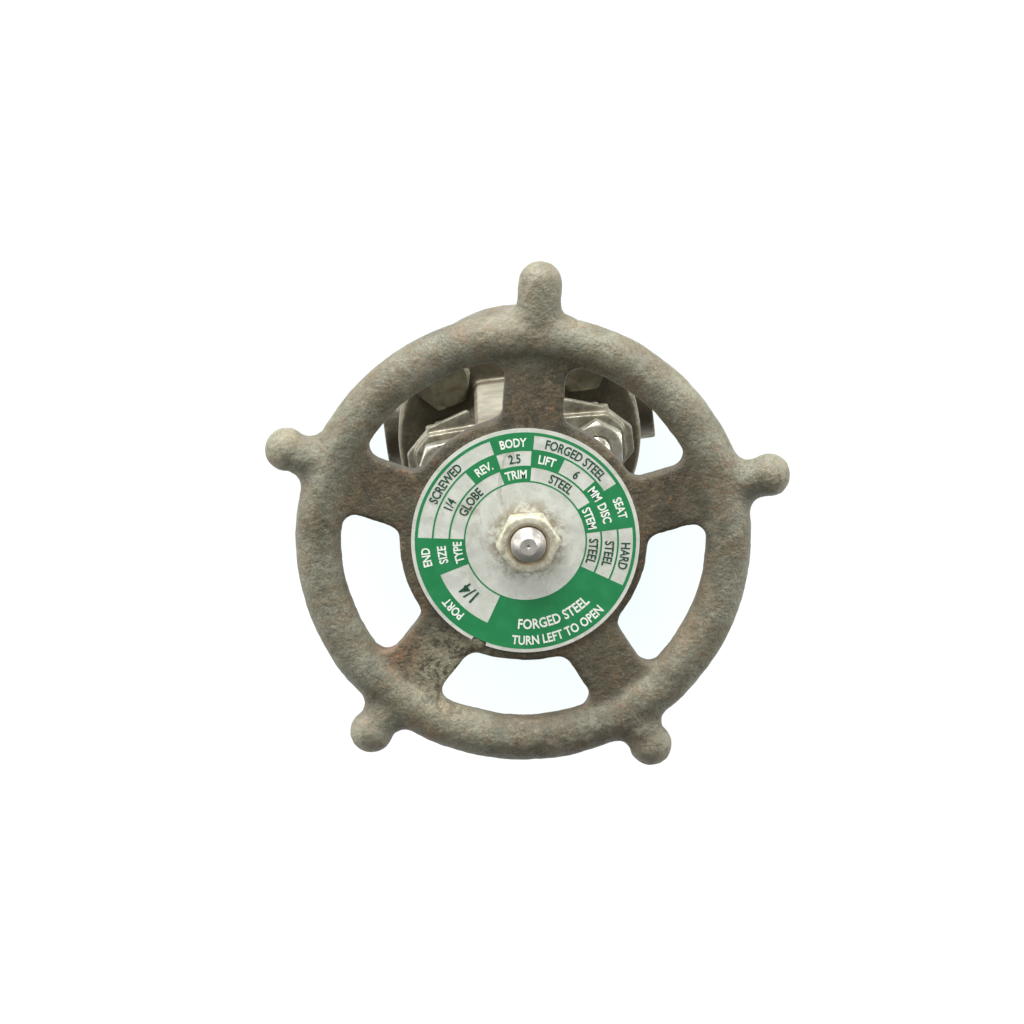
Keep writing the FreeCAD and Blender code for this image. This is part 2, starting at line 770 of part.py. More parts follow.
def make_yoke_bushing():
    top = size("yoke_hub_top")
    outer = size("bushing_radius") - size("fixed_gap")
    return turned("yoke_bushing", [
        (running_bore, size("bushing_bottom")), (outer, size("bushing_bottom")),
        (outer, top), (size("bushing_collar_radius"), top),
        (size("bushing_collar_radius"), top + size("bushing_collar_thick")),
        (running_bore, top + size("bushing_collar_thick"))])


def make_set_screw():
    sunk, hub_radius = size("set_screw_sunk"), size("yoke_hub_radius")
    length = hub_radius - size("bushing_radius") - sunk * 2
    return cylinder("yoke_bushing_set_screw", size("set_screw_radius") - size("fixed_gap"),
                    length, sunk - hub_radius, 0, size("set_screw_height"), AXIS_X)


def make_handwheel():
    """Cast wheel: round rim, flat web with five windows, five knobs and a boss below."""
    off_x = -size("wheel_offset")
    bottom = wheel_height - size("web_thick") / 2
    rim = doc.addObject("Part::Torus", "rim")
    bind(rim, "Radius1", size("rim_radius"))
    bind(rim, "Radius2", size("rim_half"))
    put(rim, off_x, 0, wheel_height)

    through = size("web_thick") + INTO * 2
    ring = cut("window_ring",
               cylinder("window_outer_edge", size("window_outer"), through,
                        off_x, 0, bottom - INTO),
               cylinder("window_inner_edge", size("web_radius"), through,
                        off_x, 0, bottom - INTO))
    spokes, knobs = [], []
    for i in range(5):
        spoke_angle = size("wheel_turn") + size(f"spoke_swing_{i}") + 72 * i
        spoke = doc.addObject("Part::Box", f"spoke_{i}")
        bind(spoke, "Length", size("rim_radius"))
        bind(spoke, "Width", size("spoke_width"))
        bind(spoke, "Height", through + INTO * 2)
        radians = math.radians(spoke_angle.number)
        half = size("spoke_width") / 2
        put(spoke, off_x + half * math.sin(radians), half * -math.cos(radians),
            bottom - INTO * 2,
            Rotation(Vector(0, 0, 1), spoke_angle.number))
        spokes.append(spoke)

        knob_angle = size("wheel_turn") + size(f"knob_swing_{i}") + 72 * i
        radians = math.radians(knob_angle.number)
        outward = Vector(math.cos(radians), math.sin(radians), 0)
        lean = Rotation(Vector(0, 0, 1), outward)

        def along(distance):
            return off_x + distance * outward.x, distance * outward.y, wheel_height

        neck = size("knob_radius") if i == 0 else size("knob_radius") - size("knob_neck")
        ball_place = size("knob_reach") + size(f"knob_stretch_{i}") - size("knob_radius")
        ball = doc.addObject("Part::Sphere", f"knob_ball_{i}")
        bind(ball, "Radius", size("knob_radius"))
        put(ball, *along(ball_place))
        shaft = cylinder(f"knob_shaft_{i}", neck, ball_place - size("rim_radius"),
                         *along(size("rim_radius")), lean)
        knobs += [ball, shaft]

    def meets_rim(edge):
        """The seam where a knob's shaft leaves the rim."""
        middle = edge.BoundBox.Center
        distance = math.hypot(middle.x - off_x.number, middle.y)
        return size("rim_radius").number < distance < size("knob_root_end").number

    rim_and_knobs = rounded("rim_and_knobs", join("rim_and_knobs_sharp", rim, *knobs),
                            size("knob_root_round"), meets_rim)

    openings = rounded("windows", cut("windows_sharp", ring, *spokes), size("window_round"),
                       is_upright)
    web = cylinder("web_blank", size("rim_radius") - INTO, size("web_thick"), off_x, 0, bottom)
    boss = cone("hub_boss", size("hub_boss_radius"),
                size("hub_boss_radius") + size("hub_boss_flare"),
                bottom - size("hub_bottom") + INTO, 0, 0, size("hub_bottom"))
    hole = drive_section("hub_hole", size("running_gap"), size("hub_bottom") - INTO,
                         web_top + INTO)
    notch = math.radians(size("plate_notch_angle").number)
    bump = cylinder("plate_stop", size("plate_notch_radius") - size("plate_notch_gap"),
                    size("plate_thick") + INTO,
                    size("plate_radius") * math.cos(notch) - size("plate_offset"),
                    size("plate_radius") * math.sin(notch), web_top - INTO)
    casting = join("handwheel_casting", rim_and_knobs, cut("web", web, openings), boss, bump)
    return cut("handwheel", casting, hole)


def make_nameplate():
    """Thin round plate under the nut, held from turning by a stop cast on the hub."""
    notch = math.radians(size("plate_notch_angle").number)
    off_x = -size("plate_offset")
    blank = cylinder("nameplate_blank", size("plate_radius"), size("plate_thick"),
                     off_x, 0, web_top)
    return cut("nameplate", blank,
               cylinder("nameplate_bore", size("plate_bore"), PAST, 0, 0, web_top - INTO),
               cylinder("nameplate_notch", size("plate_notch_radius"), PAST,
                        off_x + size("plate_radius") * math.cos(notch),
                        size("plate_radius") * math.sin(notch), web_top - INTO))


def make_handwheel_nut():
    blank = hexagon("handwheel_nut_blank", size("nut_across_flats"), size("nut_height"),
                    0, 0, plate_top, size("nut_angle").number)
    return cut("handwheel_nut", blank,
               cylinder("handwheel_nut_thread", size("nut_bore"),
                        size("nut_height") + PAST * 2, 0, 0, plate_top - PAST))


def check_and_write(parts):
    doc.recompute()
    failed = [item.Name for item in doc.Objects
              if "Invalid" in item.State or "Error" in item.State]
    if failed:
        raise RuntimeError(f"failed objects: {failed}")
    os.makedirs("parts", exist_ok=True)
    for part in parts:
        part.Label = part.Name
        if part.Shape.isNull() or not part.Shape.isValid():
            raise RuntimeError(f"{part.Name} has no valid shape")
        part.Shape.exportStep(f"parts/{part.Label}.step")
        print(f"{part.Label:26s} solids {len(part.Shape.Solids)} "
              f"volume {part.Shape.Volume:10.1f}")


parts = [make_body(), make_seat_ring(), make_gasket(), make_bonnet(), make_backseat(),
         make_bonnet_bolts(), make_disc(), make_thrust_plate(), make_disc_nut(), make_stem(),
         make_packing_washer(), *make_packing(), make_gland_bushing(), make_gland_flange(),
         *make_gland_bolting(), make_yoke_bushing(), make_set_screw(), make_handwheel(),
         make_nameplate(), make_handwheel_nut()]
check_and_write(parts)
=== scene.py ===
import json
import math

import bpy
import numpy as np
from mathutils import Matrix, Vector


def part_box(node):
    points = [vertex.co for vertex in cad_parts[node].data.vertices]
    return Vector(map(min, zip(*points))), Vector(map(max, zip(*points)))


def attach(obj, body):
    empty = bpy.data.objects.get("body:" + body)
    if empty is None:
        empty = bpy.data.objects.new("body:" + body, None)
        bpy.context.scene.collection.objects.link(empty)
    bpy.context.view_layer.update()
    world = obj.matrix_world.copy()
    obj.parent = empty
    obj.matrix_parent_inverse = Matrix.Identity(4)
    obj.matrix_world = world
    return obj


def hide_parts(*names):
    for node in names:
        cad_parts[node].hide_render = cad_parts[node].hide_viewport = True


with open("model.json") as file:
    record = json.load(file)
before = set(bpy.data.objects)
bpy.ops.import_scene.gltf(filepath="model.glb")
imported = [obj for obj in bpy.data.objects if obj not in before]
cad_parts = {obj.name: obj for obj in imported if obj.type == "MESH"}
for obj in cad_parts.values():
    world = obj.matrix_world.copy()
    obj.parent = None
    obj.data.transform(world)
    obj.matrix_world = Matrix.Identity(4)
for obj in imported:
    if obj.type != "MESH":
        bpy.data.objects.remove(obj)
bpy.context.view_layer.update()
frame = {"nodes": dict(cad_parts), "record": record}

MM = 0.001
TAU = 2 * math.pi
ROOT, WHEEL_SET = "valve", "wheel_and_stem"
SIDES = (-1, 1)


# ---------------------------------------------------------------- places from the frame

def node_bottom(node):
    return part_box(node)[0][2]


def node_top(node):
    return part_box(node)[1][2]


WHEEL_HEIGHT = (node_bottom("handwheel") + node_top("handwheel")) / 2


# ---------------------------------------------------------------- colour and shader helpers

def srgb(red, green, blue):
    """Linear colour from the usual 0 to 255 values."""
    def linear(value):
        value /= 255
        return value / 12.92 if value <= 0.04045 else ((value + 0.055) / 1.055) ** 2.4
    return (linear(red), linear(green), linear(blue), 1.0)


class Shader:
    """Builds one Principled material out of small named steps."""

    def __init__(self, name, **constants):
        self.material = bpy.data.materials.new(name)
        self.material.use_nodes = True
        self.tree = self.material.node_tree
        self.surface = self.tree.nodes["Principled BSDF"]
        self.place = self.add("ShaderNodeTexCoord").outputs["Object"]
        for socket, value in constants.items():
            self.surface.inputs[socket.replace("_", " ")].default_value = value

    def add(self, kind, **settings):
        node = self.tree.nodes.new(kind)
        for key, value in settings.items():
            setattr(node, key, value)
        return node

    def feed(self, socket, value):
        """Links a value from another node, or sets a plain one."""
        if hasattr(value, "is_linked"):
            self.tree.links.new(value, socket)
        else:
            socket.default_value = value

    def mapped(self, location, stretch=(1, 1, 1)):
        """The object's own coordinates, stretched and moved."""
        mapping = self.add("ShaderNodeMapping")
        self.feed(mapping.inputs["Vector"], self.place)
        mapping.inputs["Location"].default_value = location
        mapping.inputs["Scale"].default_value = stretch
        return mapping.outputs["Vector"]

    def noise(self, size, detail=4.0, roughness=0.6, distortion=0.0, stretch=(1, 1, 1), seed=0.0):
        """Noise between 0 and 1 whose blobs are about size metres across."""
        node = self.add("ShaderNodeTexNoise")
        self.feed(node.inputs["Vector"], self.mapped((seed, seed * 0.7, -seed), stretch))
        node.inputs["Scale"].default_value = 1 / size
        node.inputs["Detail"].default_value = detail
        node.inputs["Roughness"].default_value = roughness
        node.inputs["Distortion"].default_value = distortion
        return node.outputs["Fac"]

    def cells(self, size, seed=0.0):
        """Distance to the nearest of points about size metres apart."""
        node = self.add("ShaderNodeTexVoronoi")
        self.feed(node.inputs["Vector"], self.mapped((seed, -seed, seed * 0.3)))
        node.inputs["Scale"].default_value = 1 / size
        return node.outputs["Distance"]

    def span(self, value, low, high, out_low=0.0, out_high=1.0):
        """Maps low..high smoothly onto out_low..out_high and clamps."""
        node = self.add("ShaderNodeMapRange", interpolation_type="SMOOTHSTEP")
        self.feed(node.inputs["Value"], value)
        for socket, number in (("From Min", low), ("From Max", high),
                               ("To Min", out_low), ("To Max", out_high)):
            node.inputs[socket].default_value = number
        return node.outputs["Result"]

    def calc(self, operation, first, second=0.0):
        node = self.add("ShaderNodeMath", operation=operation)
        self.feed(node.inputs[0], first)
        self.feed(node.inputs[1], second)
        return node.outputs[0]

    def times(self, first, second):
        return self.calc("MULTIPLY", first, second)

    def mix(self, amount, first, second):
        node = self.add("ShaderNodeMix", data_type="RGBA")
        self.feed(node.inputs["Factor"], amount)
        self.feed(node.inputs[6], first)
        self.feed(node.inputs[7], second)
        return node.outputs[2]

    def tint(self, tone, colour, mask, strength):
        """Lays colour over tone where mask is, at most strength thick."""
        return self.mix(self.times(mask, strength), tone, colour)

    def blend_colours(self, value, *stops):
        """Colour ramp through (position, colour) stops."""
        node = self.add("ShaderNodeValToRGB")
        self.feed(node.inputs["Fac"], value)
        ramp = node.color_ramp
        while len(ramp.elements) < len(stops):
            ramp.elements.new(0.5)
        for element, (position, colour) in zip(ramp.elements, stops):
            element.position = position
            element.color = colour
        return node.outputs["Color"]

    def axes(self, vector):
        """The X, Y and Z values of a vector."""
        split = self.add("ShaderNodeSeparateXYZ")
        self.feed(split.inputs[0], vector)
        return split.outputs

    def radial(self):
        """Distance from the stem axis."""
        place = self.axes(self.place)
        squares = [self.times(place[i], place[i]) for i in (0, 1)]
        return self.calc("SQRT", self.calc("ADD", *squares))

    def spot(self, x, y, z, inner, outer):
        """1 within inner of a point, falling to 0 at outer."""
        node = self.add("ShaderNodeVectorMath", operation="DISTANCE")
        self.feed(node.inputs[0], self.place)
        node.inputs[1].default_value = (x, y, z)
        return self.span(node.outputs["Value"], outer, inner)

    def pointiness(self):
        """About 0.5 on flat skin, more on edges and less in hollows."""
        return self.add("ShaderNodeNewGeometry").outputs["Pointiness"]

    def hollow(self, shallow, deep):
        """Rises from 0 to 1 as the pointiness falls from shallow to deep."""
        return self.span(self.pointiness(), shallow, deep)

    def facing(self, axis):
        """How far the surface faces along one axis, from -1 to 1."""
        return self.axes(self.add("ShaderNodeNewGeometry").outputs["Normal"])[axis]

    def bump(self, *layers):
        """Stacks (height value, depth in metres) layers into the normal."""
        normal = None
        for value, depth in layers:
            node = self.add("ShaderNodeBump")
            node.inputs["Distance"].default_value = depth
            self.feed(node.inputs["Height"], value)
            if normal is not None:
                self.feed(node.inputs["Normal"], normal)
            normal = node.outputs["Normal"]
        self.feed(self.surface.inputs["Normal"], normal)

    def colour(self, value):
        self.feed(self.surface.inputs["Base Color"], value)

    def rough(self, value):
        self.feed(self.surface.inputs["Roughness"], value)


# ---------------------------------------------------------------- materials

# Local stains and patches of painted shade on the wheel: x, y, full out to, gone at (mm), colour
# and strength.
WHEEL_STAINS_AND_SHADE = (
    (-21, -29, 5, 17, srgb(140, 136, 112), 0.8),
    (-32, -22, 2, 9, srgb(126, 88, 60), 0.85),
    (-27, -40, 2, 10, srgb(124, 92, 64), 0.7),
    (-28, -30, 1, 5, srgb(146, 118, 66), 0.75),
    (-8, -27, 1, 5, srgb(122, 76, 50), 0.6),
    # painted shade: a dark spot on the bump at the nameplate's notch
    (-13.8, -21.7, 1.2, 2.6, srgb(48, 37, 27), 1.4),
    # painted shade: a dark wash low on the rim
    (6, -50, 10, 34, srgb(78, 72, 57), 0.6),
)


def wheel_paint(s, broad):
    """Grey-green paint on the rim, dark iron on the web and brown patches over both."""
    uneven = s.times(s.noise(9 * MM, 5, 0.65, 0.4, seed=15.0), 14 * MM)
    on_rim = s.span(s.calc("ADD", s.radial(), uneven), 44 * MM, 53 * MM)
    rim = s.blend_colours(broad, (0.32, srgb(84, 82, 66)), (0.46, srgb(104, 103, 87)),
                          (0.57, srgb(122, 121, 104)), (0.70, srgb(94, 98, 84)))
    web = s.blend_colours(broad, (0.32, srgb(52, 47, 34)), (0.46, srgb(69, 64, 49)),
                          (0.60, srgb(85, 80, 63)), (0.72, srgb(66, 62, 48)))
    tone = s.mix(on_rim, web, rim)
    paint = s.span(s.noise(6 * MM, 7, 0.74, 0.8, seed=3.1), 0.50, 0.58)
    tone = s.tint(tone, srgb(130, 128, 110), paint, s.times(on_rim, 0.4))
    patch = s.span(s.noise(8 * MM, 9, 0.72, 0.7, seed=25.0), 0.485, 0.545)
    brown = s.blend_colours(s.noise(1.6 * MM, 5, 0.72, 0.3, seed=27.0), (0.34, srgb(70, 59, 42)),
                            (0.50, srgb(96, 83, 61)), (0.66, srgb(122, 106, 79)))
    return s.tint(tone, brown, patch, 0.46)


def wheel_stains_and_shade(s, tone):
    """Old paint, rust and dirt, and patches of painted shade, at their own places, each with a
    blotchy edge.
    """
    blotch = s.span(s.noise(2.5 * MM, 7, 0.7, 0.3, seed=21.0), 0.42, 0.53)
    for x, y, inner, outer, colour, strength in WHEEL_STAINS_AND_SHADE:
        near = s.spot(x * MM, y * MM, WHEEL_HEIGHT, inner * MM, outer * MM)
        tone = s.tint(tone, colour, s.times(near, blotch), strength)
    return tone


def wheel_grime_and_shade(s, tone, speck):
    """Rust specks, dark pits, pale specks, knobs rubbed by hands and painted shade in the
    hollows.
    """
    rust_area = s.span(s.noise(7 * MM, 5, 0.68, 0.6, seed=5.3), 0.49, 0.64)
    rust = s.blend_colours(s.noise(1.8 * MM, 4, 0.7, seed=8.2), (0.35, srgb(84, 62, 43)),
                           (0.50, srgb(114, 83, 57)), (0.66, srgb(138, 106, 74)))
    tone = s.tint(tone, rust, s.times(s.span(speck, 0.48, 0.60), rust_area), 0.75)
    dark = s.span(s.noise(0.55 * MM, 4, 0.78, seed=2.2), 0.52, 0.66)
    tone = s.tint(tone, srgb(50, 44, 33), dark, 0.55)
    pale = s.span(s.noise(0.6 * MM, 4, 0.78, seed=12.2), 0.58, 0.70)
    tone = s.tint(tone, srgb(172, 166, 144), pale, 0.35)
    handled = s.times(s.span(s.radial(), 52 * MM, 58 * MM),
                      s.span(s.noise(2.2 * MM, 6, 0.74, 0.4, seed=14.0), 0.34, 0.58))
    tone = s.tint(tone, srgb(160, 152, 128), handled, 0.3)
    # painted shade: dark brown in the creases and hollows, such as where the rim meets the web
    return s.tint(tone, srgb(46, 35, 24), s.hollow(0.495, 0.44), 0.7)


def wheel_iron():
    """Cast iron: paint rubbed thin on the rim, rust on the web and painted shade in the hollows.
    """
    s = Shader("wheel_iron", Metallic=0.1, Specular_IOR_Level=0.45)
    broad = s.noise(15 * MM, 6, 0.62, 0.5)
    speck = s.noise(0.8 * MM, 5, 0.8, 0.3, seed=1.7)
    s.colour(wheel_grime_and_shade(s, wheel_stains_and_shade(s, wheel_paint(s, broad)), speck))
    s.rough(s.span(broad, 0.3, 0.7, 0.42, 0.66))
    s.bump((s.noise(2.2 * MM, 5, 0.62, seed=4.0), 0.38 * MM), (speck, 0.17 * MM),
           (s.cells(0.8 * MM, seed=0.5), 0.09 * MM))
    return s.material


def painted_arm_light(s):
    """Mask of painted light on the Y faces of the yoke arms, strongest low down and fading up
    them.
    """
    height = s.axes(s.place)[2]
    across_flow = s.span(s.calc("ABSOLUTE", s.facing(1)), 0.80, 0.95)
    above_flange = s.span(height, 63 * MM, 67 * MM)
    uneven = s.calc("ADD", height, s.times(s.noise(7 * MM), 40 * MM))
    return s.times(across_flow, s.times(above_flange,
                                        s.span(uneven, 138 * MM, 112 * MM, 0.15, 0.7)))


def forged_steel():
    """Forged carbon steel under oily scale, with rust specks, painted light on the Y faces of the
    yoke arms and painted shade on what faces up.
    """
    s = Shader("forged_steel", Metallic=0.45, Specular_IOR_Level=0.5)
    broad = s.noise(11 * MM, 6, 0.62, 0.4, seed=6.0)
    fine = s.noise(0.8 * MM, 5, 0.72, seed=2.5)
    tone = s.blend_colours(broad, (0.32, srgb(78, 71, 54)), (0.48, srgb(108, 101, 82)),
                           (0.66, srgb(130, 124, 106)))
    tone = s.mix(s.span(fine, 0.52, 0.70, 0.0, 0.65), tone, srgb(54, 46, 31))
    rust = s.times(s.span(s.noise(6 * MM, 5, 0.7, seed=4.4), 0.50, 0.66),
                   s.span(fine, 0.38, 0.56))
    tone = s.tint(tone, srgb(120, 82, 50), rust, 0.6)
    tone = s.tint(tone, srgb(150, 143, 124), s.span(s.pointiness(), 0.52, 0.58), 0.2)
    # painted light: the Y faces of the yoke arms made pale where the light falls on them
    tone = s.mix(painted_arm_light(s), tone, srgb(172, 169, 151))
    # painted shade: faces turned up made dark, as if less light reached them
    painted_top_shade = s.times(s.span(s.facing(2), 0.5, 0.95),
                      s.span(s.noise(4 * MM, 5, 0.7, seed=3.3), 0.2, 0.5, 0.55, 0.9))
    s.colour(s.mix(painted_top_shade, tone, srgb(52, 47, 33)))
    s.rough(s.span(s.noise(5 * MM, 4, 0.6, seed=1.0), 0.35, 0.7, 0.36, 0.6))
    s.bump((s.noise(3 * MM, 5, 0.55, seed=7.7), 0.25 * MM), (fine, 0.09 * MM))
    return s.material


def worn_metal(name, light, dark, roughness, dirt, dirt_amount, metallic, grain):
    """Machined or plated metal with dirt in its low places and fine scratches.

    grain only picks which pattern of stains and scratches the metal gets."""
    s = Shader(name, Metallic=metallic)
    broad = s.noise(6 * MM, 5, 0.6, 0.2, seed=roughness * 9)
    tone = s.mix(s.span(broad, 0.35, 0.65), dark, light)
    stain = s.times(s.span(s.noise(2.5 * MM, 6, 0.7, 0.4, seed=grain + 3), 0.50, 0.66),
                    dirt_amount)
    packed = s.times(s.hollow(0.50, 0.44), dirt_amount)
    s.colour(s.mix(s.calc("MAXIMUM", stain, packed), tone, dirt))
    s.rough(s.span(s.noise(1.6 * MM, 4, 0.7, seed=5), 0.3, 0.7, roughness * 0.8, roughness * 1.3))
    scratch = s.noise(0.35 * MM, 3, 0.6, stretch=(1, 1, 0.15), seed=grain)
    s.bump((scratch, 0.02 * MM), (broad, 0.03 * MM))
    return s.material


def stem_steel():
    """Lathe-turned stainless: fine rings round the stem axis."""
    s = Shader("stem_steel", Metallic=0.85)
    ring_spacing = 0.2 * MM
    rings = s.add("ShaderNodeTexNoise", noise_dimensions="1D")
    s.feed(rings.inputs["W"],
           s.times(s.calc("ADD", s.radial(), s.axes(s.place)[2]), 1 / ring_spacing))
    rings.inputs["Scale"].default_value = 1.0
    tone = s.mix(s.span(s.noise(1.2 * MM, 5, 0.7), 0.40, 0.66, 0.0, 0.4), srgb(190, 187, 180),
                 srgb(146, 141, 130))
    tone = s.mix(s.span(rings.outputs["Fac"], 0.42, 0.62, 0.0, 0.35), tone, srgb(104, 100, 92))
    s.colour(s.tint(tone, srgb(60, 50, 38), s.hollow(0.49, 0.42), 0.85))
    s.rough(s.span(s.noise(1.5 * MM, 4, 0.7, seed=2), 0.3, 0.7, 0.4, 0.7))
    s.bump((rings.outputs["Fac"], 0.03 * MM))
    return s.material


def plate_metal():
    """Thin aluminium plate, satin, with brown dirt round the nut and smears."""
    s = Shader("plate_aluminium", Metallic=0.5)
    cloud = s.noise(4 * MM, 6, 0.68, 0.5, seed=2.0)
    tone = s.mix(s.span(cloud, 0.3, 0.7), srgb(206, 208, 196), srgb(222, 224, 213))
    near_nut = s.times(s.span(s.radial(), 11.0 * MM, 6.5 * MM),
                       s.span(s.noise(2.0 * MM, 6, 0.74, 0.5, seed=7.0), 0.40, 0.58))
    smear = s.span(s.noise(6 * MM, 6, 0.72, 1.0, stretch=(1.0, 0.45, 1.0), seed=4.4), 0.57, 0.70)
    dirt = s.calc("MAXIMUM", s.times(near_nut, 0.75), s.times(smear, 0.4))
    tone = s.mix(dirt, tone, srgb(132, 110, 82))
    fleck = s.span(s.noise(0.4 * MM, 4, 0.74, seed=5.5), 0.60, 0.72, 0.0, 0.6)
    s.colour(s.mix(fleck, tone, srgb(122, 110, 92)))
    s.rough(s.span(cloud, 0.3, 0.7, 0.36, 0.52))
    s.bump((s.noise(0.5 * MM, 4, 0.7, stretch=(1, 0.2, 1)), 0.02 * MM), (cloud, 0.05 * MM))
    return s.material


def ink(name, colour, faded):
    """Enamel print, slightly glossy, rubbed thin in places."""
    s = Shader(name, Roughness=0.42)
    cloud = s.noise(4 * MM, 6, 0.7, 0.4, seed=6.6)
    tone = s.mix(s.span(cloud, 0.4, 0.7, 0.0, 0.5), colour, faded)
    fleck = s.span(s.noise(0.5 * MM, 4, 0.75, seed=3.5), 0.68, 0.76, 0.0, 0.7)
    s.colour(s.mix(fleck, tone, srgb(150, 160, 140)))
    s.bump((cloud, 0.02 * MM))
    return s.material


def nut_metal():
    """Pale zinc plating, with brown dirt packed in the chamfer round the stem."""
    s = Shader("wheel_nut_zinc", Metallic=0.35)
    cloud = s.noise(1.6 * MM, 5, 0.68, 0.3, seed=3.0)
    tone = s.mix(s.span(cloud, 0.35, 0.65), srgb(160, 157, 134), srgb(198, 195, 174))
    uneven = s.times(s.noise(0.9 * MM), 0.4 * MM)
    chamfer = s.span(s.calc("ADD", s.radial(), uneven), 5.2 * MM, 4.95 * MM)
    dirt = s.calc("MAXIMUM", s.times(chamfer, 0.8), s.times(s.hollow(0.50, 0.44), 0.7))
    tone = s.mix(dirt, tone, srgb(166, 150, 122))
    stain = s.span(s.noise(0.7 * MM, 5, 0.74, seed=9.0), 0.58, 0.70, 0.0, 0.5)
    s.colour(s.mix(stain, tone, srgb(146, 138, 104)))
    s.rough(s.span(cloud, 0.3, 0.7, 0.38, 0.55))
    s.bump((s.noise(0.6 * MM, 4, 0.7, seed=1.5), 0.05 * MM), (cloud, 0.06 * MM))
    return s.material


def graphite():
    """Graphite packing: dark, with a fine grain."""
    s = Shader("graphite_packing", Metallic=0.1)
    fine = s.noise(0.6 * MM, 4, 0.7)
    s.colour(s.mix(fine, srgb(30, 30, 32), srgb(66, 66, 68)))
    s.rough(s.span(fine, 0.3, 0.7, 0.35, 0.6))
    s.bump((fine, 0.08 * MM))
    return s.material


# For the worn metals: light and dark tone, roughness, dirt, its amount, metallic, grain.
materials = {
    "wheel_iron": wheel_iron(),
    "forged_steel": forged_steel(),
    "bolting": worn_metal("bolting", srgb(88, 84, 66), srgb(62, 59, 45), 0.42,
                          srgb(70, 54, 38), 0.8, 0.55, 1.0),
    "hard_trim": worn_metal("hard_trim", srgb(196, 194, 190), srgb(160, 158, 154), 0.28,
                            srgb(120, 110, 95), 0.2, 1.0, 2.0),
    "stainless": worn_metal("stainless", srgb(186, 184, 172), srgb(148, 145, 130), 0.33,
                            srgb(104, 90, 68), 0.5, 0.7, 3.0),
    "wheel_nut_zinc": nut_metal(),
    "gland_steel": worn_metal("gland_steel", srgb(138, 134, 118), srgb(98, 95, 82), 0.42,
                              srgb(84, 72, 52), 0.6, 0.6, 7.0),
    "plated_steel": worn_metal("plated_steel", srgb(206, 203, 186), srgb(160, 154, 134), 0.45,
                               srgb(112, 98, 72), 0.6, 0.55, 4.0),
    "bushing_iron": worn_metal("bushing_iron", srgb(140, 137, 128), srgb(104, 100, 90), 0.45,
                               srgb(86, 64, 44), 0.6, 0.7, 5.0),
    "gasket_metal": worn_metal("gasket_metal", srgb(150, 146, 130), srgb(100, 96, 84), 0.4,
                               srgb(60, 56, 50), 0.6, 0.8, 6.0),
    "stem_steel": stem_steel(),
    "plate_aluminium": plate_metal(),
    "graphite_packing": graphite(),
    "green_ink": ink("green_ink", srgb(13, 114, 62), srgb(36, 130, 80)),
    "dark_ink": ink("dark_ink", srgb(14, 62, 40), srgb(44, 88, 66)),
    "white_ink": ink("white_ink", srgb(226, 226, 218), srgb(204, 206, 196)),
}


# ---------------------------------------------------------------- mesh helpers

def make_object(name, vertices, faces, material, body, slot, sharp=32.0):
    mesh = bpy.data.meshes.new(name)
    mesh.from_pydata([tuple(v) for v in vertices], [], faces)
    mesh.validate()
    mesh.update()
    return finish_mesh(name, mesh, material, body, sharp)


def finish_mesh(name, mesh, material, body, sharp):
    """Makes a piece of a mesh, shaded smooth except across edges over sharp degrees."""
    mesh.polygons.foreach_set("use_smooth", [True] * len(mesh.polygons))
    mesh.set_sharp_from_angle(angle=math.radians(sharp))
    mesh.materials.clear()
    mesh.materials.append(materials[material])
    piece = bpy.data.objects.new(name, mesh)
    bpy.context.scene.collection.objects.link(piece)
    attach(piece, body)
    return piece


def ease(profile, size, steps):
    """Rounds the corners of closed profiles held as a (points, turns, 2) array.

    A corner is cut back by size, or by less where the edge beside it is short."""
    longest_cut = 0.45
    before = np.roll(profile, 1, axis=0) - profile
    after = np.roll(profile, -1, axis=0) - profile
    length_before = np.linalg.norm(before, axis=2, keepdims=True)
    length_after = np.linalg.norm(after, axis=2, keepdims=True)
    start = profile + before * np.minimum(longest_cut, size / np.maximum(length_before, 1e-9))
    end = profile + after * np.minimum(longest_cut, size / np.maximum(length_after, 1e-9))
    rows = []
    for point in range(len(profile)):
        for step in range(steps + 1):
            t = step / steps
            rows.append((1 - t) ** 2 * start[point] + 2 * t * (1 - t) * profile[point]
                        + t ** 2 * end[point])
    return np.array(rows)


def full_turn(turns):
    """Evenly spaced angles of one turn."""
    return np.arange(turns) * TAU / turns


def spin(profile, turns, round_size, steps=2):
    """Vertices and faces of a closed profile taken round the Z axis.

    Each profile point is (radius, height), and either may be an array over the angles."""
    angles = full_turn(turns)
    grid = np.array([np.stack(np.broadcast_arrays(r, z, angles)[:2], axis=1) for r, z in profile])
    return skin(ease(grid, round_size, steps), angles)


def skin(grid, angles):
    """Closed quad skin over a (rows, turns, 2) grid of radius and height."""
    rows, turns = grid.shape[:2]
    x = grid[:, :, 0] * np.cos(angles)
    y = grid[:, :, 0] * np.sin(angles)
    vertices = np.stack([x, y, grid[:, :, 1]], axis=2).reshape(-1, 3)
    row = np.arange(rows)[:, None]
    turn = np.arange(turns)[None, :]
    next_row, next_turn = (row + 1) % rows, (turn + 1) % turns
    faces = np.stack(np.broadcast_arrays(row * turns + turn, row * turns + next_turn,
                                         next_row * turns + next_turn, next_row * turns + turn),
                     axis=2).reshape(-1, 4)
    return vertices, faces.tolist()


def placed(vertices, centre, turn=0.0, along=None):
    """Turns vertices about Z, then leans Z onto along, then moves them to centre."""
    matrix = Matrix.Rotation(turn, 3, "Z")
    if along is not None:
        matrix = Vector((0, 0, 1)).rotation_difference(Vector(along)).to_matrix() @ matrix
    return vertices @ np.array(matrix).T + np.array(centre)


def moved(bar, x, y):
    vertices, faces = bar
    return vertices + np.array((x, y, 0.0)), faces


